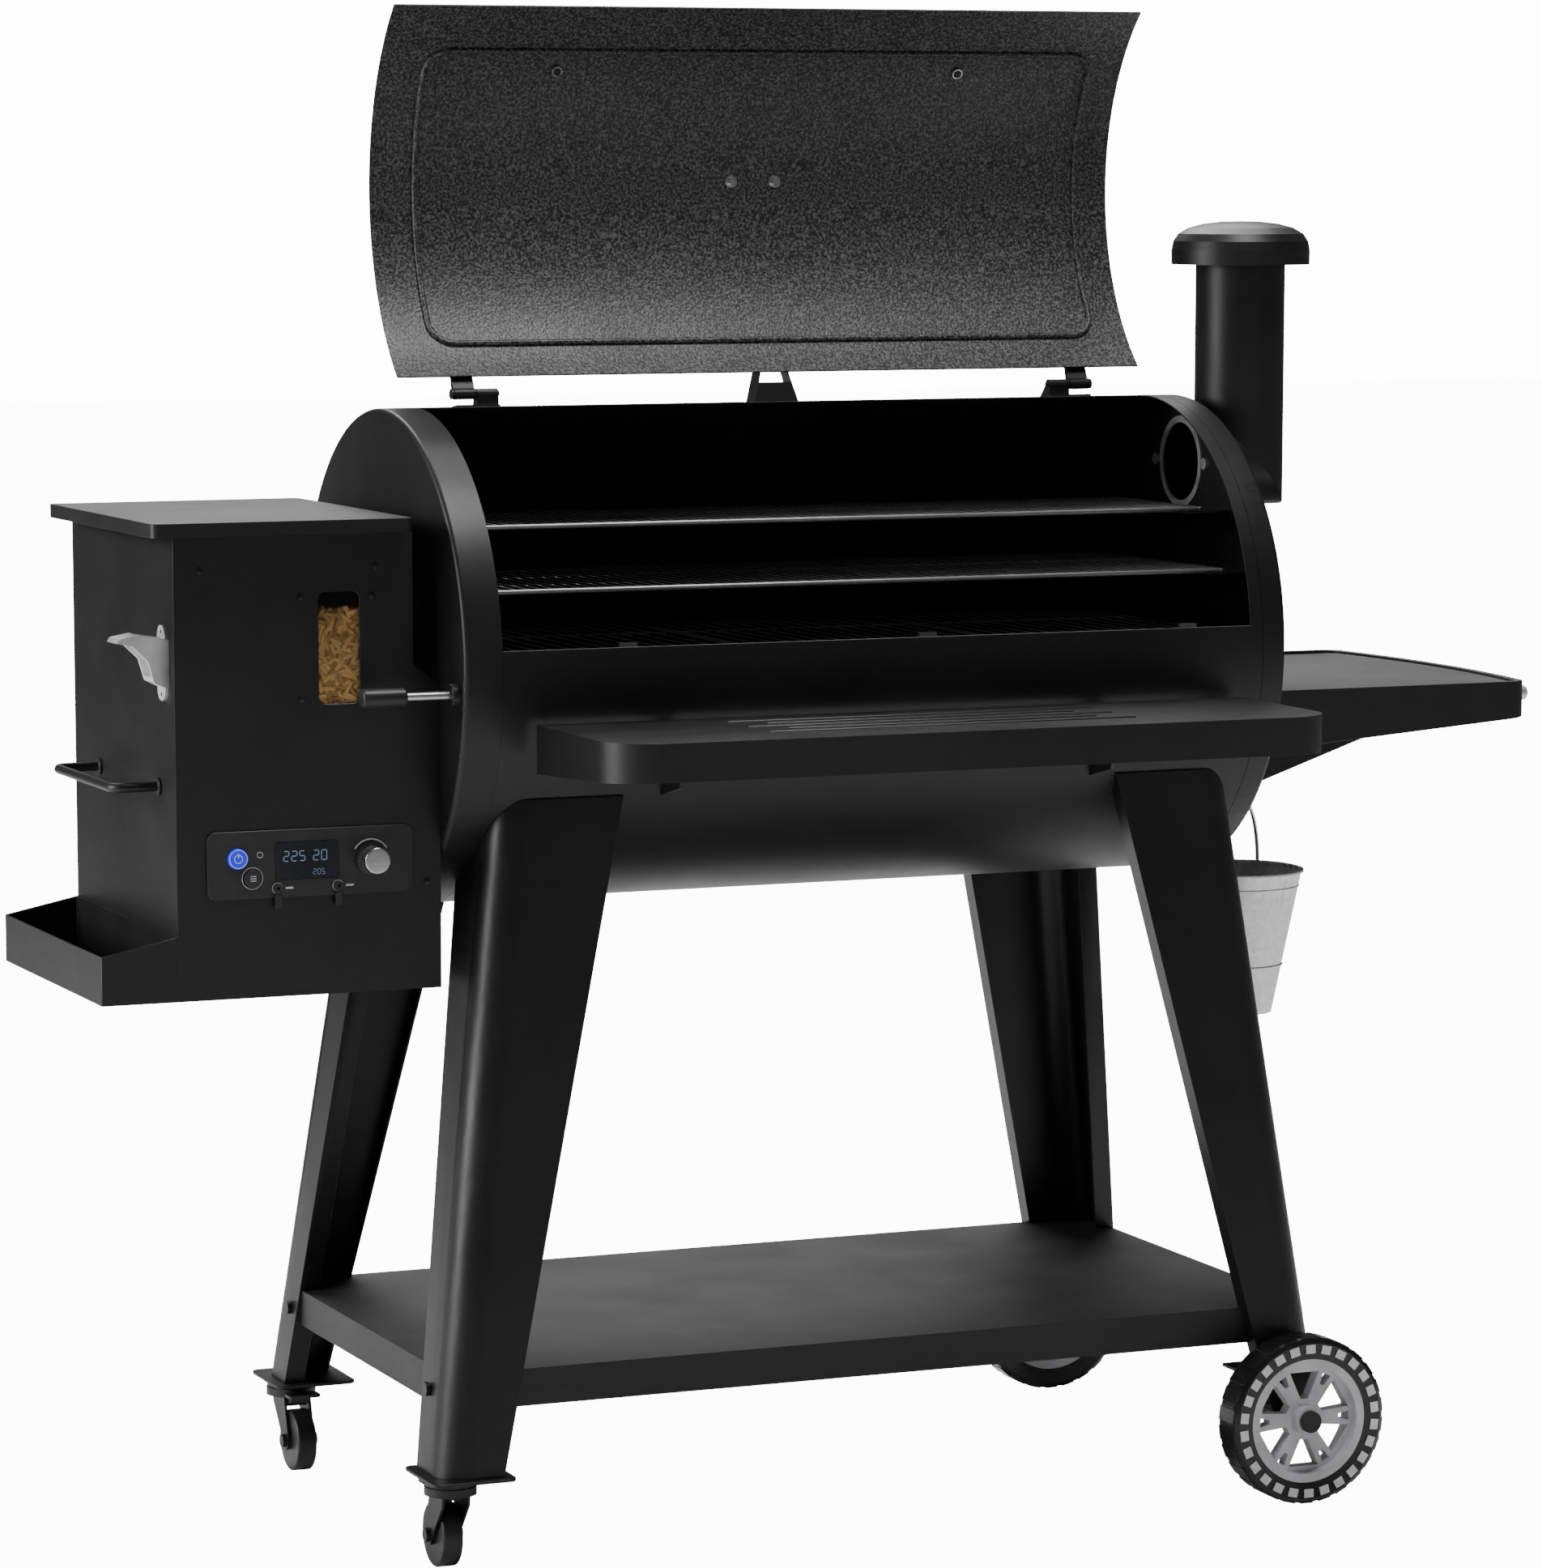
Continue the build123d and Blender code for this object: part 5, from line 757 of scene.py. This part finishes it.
class GRILL_OT_lid(bpy.types.Operator):
    """Lid sheet with its enamelled inside, pressed bead and handle bolts"""
    bl_idname = "grill.lid"
    bl_label = "Lid"

    def execute(self, context):
        lid = paint(cad_copy("lid", bevel=sizes().sheet_bevel, segments=1), PAINTS["coat"])
        middle = at(0, LID_Y, LID_Z)
        second_material(
            lid, PAINTS["lid_inside"],
            lambda c, n: abs(n.x) < 0.5
            and (c.y - middle.y) * n.y + (c.z - middle.z) * n.z < 0
            and math.hypot(c.y - middle.y, c.z - middle.z) < LID_R / 1000 + 0.0008,
        )
        settle(self.bead(), "lid", PAINTS["lid_inside"])
        bolts = [
            self.bolt(x, BADGE_TURN) for x in (BADGE_MIDDLE - BADGE_BOLT, BADGE_MIDDLE + BADGE_BOLT)
        ]
        settle(joined("lid_badge_bolts", bolts), "lid", PAINTS["chrome"])
        grips = [
            self.bolt(x, HANDLE_TURN) for x in (LID_MIDDLE - HANDLE_BOLT, LID_MIDDLE + HANDLE_BOLT)
        ]
        settle(joined("lid_handle_bolts", grips), "lid", PAINTS["coat"])
        return {"FINISHED"}

    def bead(self):
        """Rounded rectangle drawn flat, laid on the cylinder and given its round section."""
        low, high = (-419.6, -38.0), (436.4, 34.5)
        arc = LID_R * math.radians(high[1] - low[1])
        bpy.ops.object.select_all(action="DESELECT")
        bpy.ops.mesh.primitive_plane_add(size=1)
        obj = fresh(bpy.context.object, "lid_bead")
        obj.scale = ((high[0] - low[0]) / 1000, arc / 1000, 1)
        bpy.ops.object.transform_apply(location=False, rotation=False, scale=True)
        bpy.ops.object.mode_set(mode="EDIT")
        bpy.ops.mesh.select_all(action="SELECT")
        bpy.ops.mesh.bevel(affect="VERTICES", offset=0.030, segments=8)
        bpy.ops.mesh.delete(type="ONLY_FACE")
        bpy.ops.mesh.select_all(action="SELECT")
        bpy.ops.mesh.subdivide(number_cuts=10)
        bpy.ops.object.mode_set(mode="OBJECT")
        middle = (low[0] + high[0]) / 2
        for point in obj.data.vertices:
            turn = (low[1] + high[1]) / 2 + math.degrees(point.co.y * 1000 / LID_R)
            point.co = on_lid(middle + point.co.x * 1000, turn, 1.7)
        only(obj)
        bpy.ops.object.convert(target="CURVE")
        obj = bpy.context.object
        obj.data.bevel_depth = sizes().bead_width / 2
        obj.data.bevel_resolution = 3
        bpy.ops.object.convert(target="MESH")
        return smooth(fresh(bpy.context.object, "lid_bead"), 60)

    def bolt(self, x, degrees):
        """Domed nut on a washer inside the lid."""
        washer = rod(on_lid(x, degrees, -0.2), on_lid(x, degrees, 1.2), 0.0075, 20, 0.0004)
        nut = rod(on_lid(x, degrees, 1.0), on_lid(x, degrees, 6.0), 0.0052, 6, 0.0012)
        return joined("lid_bolt", [washer, nut])


class GRILL_OT_racks(bpy.types.Operator):
    """Two welded wire racks and the small drop pins along their front edge, the front wire and pins
    paler as a painted highlight
    """
    bl_idname = "grill.racks"
    bl_label = "Wire Racks"

    def execute(self, context):
        for name, pins in (("upper_rack", True), ("middle_rack", False)):
            low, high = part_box(name)
            grid, edge = self.rack(name, low, high, pins)
            settle(grid, BODY_OF[name], PAINTS["wire"])
            # front wire and pins in the paler wire colour: painted highlight
            settle(edge, BODY_OF[name], PAINTS["bright_wire"])
            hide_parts(name)
            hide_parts(name)
        return {"FINISHED"}

    def rack(self, name, low, high, pins):
        thick, fine = sizes().rack_frame / 2, sizes().rack_wire / 2
        top = high.z - fine
        bars = []
        for y in (high.y - thick, (low.y + high.y) / 2, low.y + (high.y - low.y) * 0.25,
                  low.y + (high.y - low.y) * 0.75):
            start = Vector((low.x + thick, y, high.z - thick - 2 * fine))
            bars.append(rod(start, (high.x - thick, y, start.z), thick, 10, 0.0006))
        for x in (low.x + thick, high.x - thick):
            bars.append(
                rod((x, low.y, high.z - thick), (x, high.y, high.z - thick), thick, 10, 0.0006)
            )
        pitch = sizes().rack_pitch
        count = int((high.x - low.x - 4 * thick) / pitch)
        start_x = (low.x + high.x) / 2 - (count - 1) * pitch / 2
        wire = rod((start_x, low.y + thick, top), (start_x, high.y - 0.001, top), fine, 6, 0.0003)
        modify(
            wire, "ARRAY", count=count, use_relative_offset=False, use_constant_offset=True,
            constant_offset_displace=(pitch, 0, 0),
        )
        bars.append(wire)
        grid = smooth(joined(name + "_wires", bars), 50)
        edge = Vector((low.x, low.y + thick, high.z - thick))
        front = [rod(edge, (high.x, edge.y, edge.z), thick, 12, 0.001)]
        if pins:
            for step in range(13):
                x = low.x + 0.03 + (high.x - low.x - 0.06) * step / 12
                foot = Vector((x, low.y + thick, low.z))
                front.append(
                    rod(foot, foot + Vector((0, 0, high.z - low.z - thick)), 0.002, 8, 0.0006)
                )
        return grid, smooth(joined(name + "_front", front), 50)


class GRILL_OT_pellets(bpy.types.Operator):
    """Loose pellets behind the hopper window on a packed bed; the bed takes the darker pellet
    colour as painted shade between the pellets
    """
    bl_idname = "grill.pellets"
    bl_label = "Wood Pellets"

    def execute(self, context):
        rng = random.Random(7)
        # the bed behind the loose pellets: painted shade in the darker pellet colour
        bed = paint(cad_copy("pellet_load"), PAINTS["pellet_dark"])
        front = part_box("pellet_load")[0].y
        for point in bed.data.vertices:
            if point.co.y < front + 0.001:
                point.co.y += 0.010
        low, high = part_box("hopper_window")
        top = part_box("pellet_load")[1].z
        single = rod((0, 0, -0.0075), (0, 0, 0.0075), sizes().pellet_width / 2, 8, 0.0006, "pellet")
        light, dark = [], []
        columns = 8
        rows = sizes().pellet_count // (columns * 3)
        for layer in range(3):
            for row in range(rows):
                for column in range(columns):
                    twin = copied(single, "pellet")
                    place = Vector((
                        low.x + (high.x - low.x) * (column + rng.uniform(0.1, 0.9)) / columns,
                        front + 0.0036 + 0.0035 * layer + rng.uniform(0, 0.0015),
                        low.z + (top - low.z - 0.003) * (row + rng.uniform(0.0, 1.0)) / rows,
                    ))
                    turn = rng.uniform(0, math.pi)
                    lean = rng.gauss(0, 0.10)
                    way = Vector((math.cos(turn), lean, math.sin(turn))).normalized()
                    twin.matrix_world = way.to_track_quat("Z", "Y").to_matrix().to_4x4()
                    twin.location = place
                    (light if rng.random() < 0.7 else dark).append(twin)
        bpy.data.objects.remove(single)
        for name, parts, finish in (
            ("pellets_light", light, "pellet"), ("pellets_dark", dark, "pellet_dark")
        ):
            heap = smooth(joined(name, parts), 50)
            settle(heap, BODY_OF["pellet_load"], PAINTS[finish])
            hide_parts("pellet_load")
        return {"FINISHED"}


# places on the panel's face, in millimetres
POWER, MODE, KNOB, LED = (-753.6, 811.6), (-736.6, 789), (-597.6, 805), (-727.6, 815)
JACKS, JACK_Z = (-707.6, -636.6), 776.6
READINGS = (("225", -697, 812, 11.0), ("20", -662, 812, 11.0), ("205", -664, 793.5, 6.0))
SEGMENTS = {"2": "abdeg", "5": "acdfg", "0": "abcdef"}
SEGMENT_PLACE = {
    "a": (0, 1, True), "b": (0.5, 0.5, False), "c": (0.5, -0.5, False), "d": (0, -1, True),
    "e": (-0.5, -0.5, False), "f": (-0.5, 0.5, False), "g": (0, 0, True),
}


class GRILL_OT_panel(bpy.types.Operator):
    """Printed rings, scale, display digits and knob of the control panel"""
    bl_idname = "grill.panel"
    bl_label = "Control Panel"

    def execute(self, context):
        self.face = (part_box("control_panel")[0].y - AXIS_Y) * 1000
        self.display()
        self.prints()
        self.knob()
        return {"FINISHED"}

    def place(self, x, z, out=0.1):
        return at(x, self.face - out, z)

    def mark(self, x, z, width, height, out=0.15, turn=0.0):
        """Thin raised print of this size, its corners softened."""
        corner = Vector((width / 2000, 0.00015, height / 2000))
        obj = slab(-corner, corner, 0.0001)
        only(obj)
        obj.rotation_euler = (0, turn, 0)
        obj.location = self.place(x, z, out)
        return apply_place(obj)

    def printed(self, name, parts, node_name, finish):
        """Joins marks and settles them with the node that they are printed on."""
        settle(joined(name, parts), BODY_OF[node_name], PAINTS[finish])

    def loop(self, x, z, radius, thick, out=0.1):
        return ring(self.place(x, z, out), (0, -1, 0), radius / 1000, thick / 1000, 40)

    def display(self):
        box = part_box("panel_display")
        front = self.face
        self.face = (box[0].y - AXIS_Y) * 1000
        marks = []
        for digits, x0, z0, tall in READINGS:
            for place_in_row, digit in enumerate(digits):
                x = x0 + place_in_row * tall * 0.85
                for segment in SEGMENTS[digit]:
                    dx, dz, flat = SEGMENT_PLACE[segment]
                    size = (tall * 0.42, tall * 0.1) if flat else (tall * 0.1, tall * 0.42)
                    marks.append(
                        self.mark(x + dx * tall * 0.55, z0 + dz * tall * 0.5, *size, out=0.1)
                    )
        self.printed("display_digits", marks, "panel_display", "digits")
        self.face = front

    def prints(self):
        parts = [self.loop(*MODE, 12.0, 0.35), self.loop(*LED, 3.2, 0.3)]
        for x in JACKS:
            parts.append(self.loop(x, JACK_Z, 6.0, 0.35))
            parts.append(self.mark(x + 14, JACK_Z, 9.0, 2.2))
        for step in range(15):
            angle = math.radians(-54 + 108 * step / 14)
            x, z = KNOB[0] + 22 * math.sin(angle), KNOB[1] + 22 * math.cos(angle)
            parts.append(self.mark(x, z, 3.2, 1.5, turn=angle))
        self.printed("panel_print", parts, "control_panel", "print")
        front = self.face
        self.face = (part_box("power_button")[0].y - AXIS_Y) * 1000
        icon = [
            self.loop(*POWER, 4.6, 0.6), self.mark(POWER[0], POWER[1] + 4, 1.4, 6.0, out=0.2),
            self.loop(*POWER, 10.2, 0.55),
        ]
        self.printed("power_icon", icon, "power_button", "print")
        self.face = (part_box("mode_button")[0].y - AXIS_Y) * 1000
        lines = [self.mark(MODE[0], MODE[1] + dz, 7.0, 0.9) for dz in (-2.6, 0.0, 2.6)]
        self.printed("mode_icon", lines, "mode_button", "print")
        self.face = front

    def knob(self):
        """Dark fluted skirt and bright turned cap."""
        low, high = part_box("control_knob")
        middle = Vector(((low.x + high.x) / 2, 0, (low.z + high.z) / 2))
        skirt = paint(cad_copy("control_knob", bevel=0.0006), PAINTS["plastic"])
        second_material(
            skirt, PAINTS["steel"],
            lambda c, n: math.hypot(c.x - middle.x, c.z - middle.z) < 0.0151
            and c.y < low.y + 0.012,
        )


class GRILL_OT_wheels(bpy.types.Operator):
    """Tread blocks, and a ring of light grey squares on each large tyre's side as painted
    highlights
    """
    bl_idname = "grill.wheels"
    bl_label = "Wheels"

    def execute(self, context):
        for side in ("front", "back"):
            low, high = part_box(side + "_tyre")
            middle = (low + high) / 2
            radius = (high.z - low.z) / 2
            tread, lights = [], []
            outer = low.y if side == "front" else high.y
            away = -1 if side == "front" else 1
            block = slab(
                (-0.0085, low.y + 0.004, -0.0016), (0.0085, high.y - 0.004, 0.0), 0.0006, "tread"
            )
            # light grey square on the tyre's side: a painted highlight
            pane = slab((-0.0062, -0.0006, -0.0052), (0.0062, 0.0006, 0.0052), 0.0005, "pane")
            for step in range(sizes().tread_blocks):
                angle = math.tau * step / sizes().tread_blocks
                for shape, heap, reach, y in (
                    (block, tread, radius + 0.0002, 0.0),
                    (pane, lights, radius * 0.87, outer + away * 0.0001),
                ):
                    twin = copied(shape, shape.name)
                    twin.rotation_euler = (0, angle, 0)
                    twin.location = (
                        middle.x + reach * math.sin(angle), y, middle.z + reach * math.cos(angle)
                    )
                    heap.append(twin)
            bpy.data.objects.remove(block)
            bpy.data.objects.remove(pane)
            body = BODY_OF[side + "_tyre"]
            settle(joined(side + "_tread", tread), body, PAINTS["tyre"])
            settle(
                joined(side + "_tyre_panes", lights), body, PAINTS["pane"]
            )
        return {"FINISHED"}


# the middle of the bucket's rim and the ends of the lever's grip, in millimetres
BUCKET_RIM = (600, 0, 714)
GRIP_FROM, GRIP_TO = -627.6, -574.0


class GRILL_OT_bucket(bpy.types.Operator):
    """Tinned bucket with its rolled rim and pressed ribs"""
    bl_idname = "grill.bucket"
    bl_label = "Grease Bucket"

    def execute(self, context):
        paint(cad_copy("bucket", bevel=0.0005), PAINTS["tin"])
        low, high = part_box("bucket")
        height, top_r, low_r = 0.178, 0.080, 0.045
        middle = at(*BUCKET_RIM)
        ribs = [ring(middle - Vector((0, 0, 0.001)), (0, 0, 1), top_r - 0.0004, 0.0022, 72)]
        for drop in (0.020, 0.118):
            r = top_r + (low_r - top_r) * drop / height
            ribs.append(ring(middle - Vector((0, 0, drop)), (0, 0, 1), r, 0.0016, 72))
        settle(smooth(joined("bucket_ribs", ribs), 60), "bucket", PAINTS["tin"])
        return {"FINISHED"}


class GRILL_OT_lever(bpy.types.Operator):
    """Flame broiler lever with its dark grip and bright rod"""
    bl_idname = "grill.lever"
    bl_label = "Broiler Lever"

    def execute(self, context):
        lever = paint(cad_copy("broiler_lever", bevel=0.0008), PAINTS["steel"])
        second_material(
            lever, PAINTS["plastic"], lambda c, n: at(GRIP_FROM, 0, 0).x < c.x < at(GRIP_TO, 0, 0).x
        )
        return {"FINISHED"}


# screw heads on the hopper's front, in millimetres
SCREWS = (
    (-676, 1100), (-593, 1099.5), (-676, 986.5), (-593, 986.5), (-793, 1132), (-588, 1133),
    (-530, 776),
)


class GRILL_OT_trim(bpy.types.Operator):
    """Small screw heads and the pressed lines on the front shelf"""
    bl_idname = "grill.trim"
    bl_label = "Screws and Pressings"

    def execute(self, context):
        wall = (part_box("hopper_body")[0].y - AXIS_Y) * 1000
        screws = []
        for x, z in SCREWS:
            head = rod(at(x, wall + 0.3, z), at(x, wall - 1.6, z), 0.0038, 18, 0.0007)
            cut = rod(at(x, wall - 1.2, z), at(x, wall - 1.9, z), 0.0014, 6, 0.0001)
            screws += [head, cut]
        settle(
            smooth(joined("hopper_screws", screws), 40), "grill",
            PAINTS["coat"],
        )
        lines = []
        for half, y in ((225, -350), (190, -380), (225, -410), (190, -440), (225, -470)):
            lines.append(rod(at(-half, y, 956.6), at(half, y, 956.6), 0.0022, 12, 0.0012))
        settle(
            smooth(joined("front_shelf_pressing", lines), 60), BODY_OF["front_shelf"],
            PAINTS["coat"],
        )
        return {"FINISHED"}


# how bright the floor glows to the camera, and its share of what the camera sees
FLOOR_GLOW, GLOW_SHARE = 14.0, 0.9


class GRILL_OT_stage(bpy.types.Operator):
    """Pale floor, soft lights and camera"""
    bl_idname = "grill.stage"
    bl_label = "Stage"

    def execute(self, context):
        stage = context.scene.grill_stage
        bpy.ops.object.select_all(action="DESELECT")
        bpy.ops.mesh.primitive_plane_add(size=60)
        floor = fresh(bpy.context.object, "studio_floor")
        material, tree, surface = plain("Studio Floor", tuple(stage.floor_colour), 0.75)
        grain = grouped(tree, "grain", (-700, 0), scale=30.0, mottle_scale=0.4)
        pale = shade(stage.floor_colour, 0.985)
        tree.links.new(
            mixed(tree, grain.outputs["Mottle"], pale, tuple(stage.floor_colour), (-400, 0)),
            surface.inputs["Base Color"],
        )
        glow = node(tree, "ShaderNodeEmission", (0, -300))
        glow.inputs["Strength"].default_value = FLOOR_GLOW
        path = node(tree, "ShaderNodeLightPath", (-200, 400))
        seen = node(tree, "ShaderNodeMath", (0, 300), operation="MULTIPLY")
        seen.inputs[1].default_value = GLOW_SHARE
        mix = node(tree, "ShaderNodeMixShader", (350, 0))
        out = tree.nodes["Material Output"]
        tree.links.new(path.outputs["Is Camera Ray"], seen.inputs[0])
        tree.links.new(seen.outputs[0], mix.inputs[0])
        tree.links.new(surface.outputs[0], mix.inputs[1])
        tree.links.new(glow.outputs[0], mix.inputs[2])
        tree.links.new(mix.outputs[0], out.inputs["Surface"])
        paint(floor, material)
        self.world(context)
        target = at(0, 0, 850)
        for name, place, size, power in (
            ("left_light", (-5.2, 0.6, 2.2), 3.0, stage.left_power),
            ("top_light", (0.6, 2.6, 4.6), 4.0, stage.top_power),
            ("front_light", (2.2, -5.6, 2.6), 3.0, stage.front_power),
            ("lid_light", (0.3, -1.2, 4.9), 1.6, stage.lid_power),
        ):
            bpy.ops.object.light_add(type="AREA", location=place)
            lamp = bpy.context.object
            lamp.name = name
            lamp.data.shape = "DISK"
            lamp.data.size = size
            lamp.data.energy = power
            lamp.rotation_euler = (target - Vector(place)).to_track_quat("-Z", "Y").to_euler()
        bpy.ops.object.camera_add(location=(AXIS_X - 2.6648, AXIS_Y - 6.2549, 1.5838))
        camera = bpy.context.object
        camera.name = "studio_camera"
        camera.rotation_euler = (math.radians(90 - 7.8), 0, math.radians(-22.56))
        camera.data.lens = stage.lens
        camera.data.sensor_width = 36
        camera.data.shift_x = 0.0209
        camera.data.shift_y = 0.1011
        context.scene.camera = camera
        return {"FINISHED"}

    def world(self, context):
        """Near-white seen behind the object, a softer grey for what lights it."""
        world = bpy.data.worlds.new("Studio")
        context.scene.world = world
        world.use_nodes = True
        tree = world.node_tree
        tree.nodes.clear()
        out = node(tree, "ShaderNodeOutputWorld", (600, 0))
        seen = node(tree, "ShaderNodeBackground", (0, 100))
        seen.inputs["Color"].default_value = (1, 1, 1, 1)
        seen.inputs["Strength"].default_value = 14.0
        lit = node(tree, "ShaderNodeBackground", (0, -100))
        lit.inputs["Color"].default_value = (1, 1, 1, 1)
        lit.inputs["Strength"].default_value = 0.075
        path = node(tree, "ShaderNodeLightPath", (-200, 300))
        mix = node(tree, "ShaderNodeMixShader", (300, 0))
        tree.links.new(path.outputs["Is Camera Ray"], mix.inputs[0])
        tree.links.new(lit.outputs[0], mix.inputs[1])
        tree.links.new(seen.outputs[0], mix.inputs[2])
        tree.links.new(mix.outputs[0], out.inputs["Surface"])


# ------------------------------------------------------------------ add-on
OPERATORS = (
    GRILL_OT_materials, GRILL_OT_sheet_metal, GRILL_OT_lid, GRILL_OT_racks, GRILL_OT_pellets,
    GRILL_OT_panel, GRILL_OT_wheels, GRILL_OT_bucket, GRILL_OT_lever, GRILL_OT_trim, GRILL_OT_stage,
)


class GRILL_PT_sidebar(bpy.types.Panel):
    """Sizes, colours and building steps of the grill"""
    bl_idname = "GRILL_PT_sidebar"
    bl_label = "Pellet Smoker Grill"
    bl_space_type = "VIEW_3D"
    bl_region_type = "UI"
    bl_category = "Grill"

    def draw(self, context):
        scene = context.scene
        for values in (scene.grill_finish, scene.grill_sizes, scene.grill_stage):
            box = self.layout.box()
            for key in values.__annotations__:
                box.prop(values, key)
        for operator in OPERATORS:
            self.layout.operator(operator.bl_idname)


CLASSES = (GRILL_PG_finish, GRILL_PG_sizes, GRILL_PG_stage, *OPERATORS, GRILL_PT_sidebar)


def register():
    for cls in CLASSES:
        bpy.utils.register_class(cls)
    bpy.types.Scene.grill_finish = PointerProperty(type=GRILL_PG_finish)
    bpy.types.Scene.grill_sizes = PointerProperty(type=GRILL_PG_sizes)
    bpy.types.Scene.grill_stage = PointerProperty(type=GRILL_PG_stage)


def unregister():
    for key in ("grill_finish", "grill_sizes", "grill_stage"):
        delattr(bpy.types.Scene, key)
    for cls in reversed(CLASSES):
        bpy.utils.unregister_class(cls)


def main():
    register()
    for operator in OPERATORS:
        group_name, name = operator.bl_idname.split(".")
        getattr(getattr(bpy.ops, group_name), name)()


if __name__ == "__main__":
    main()
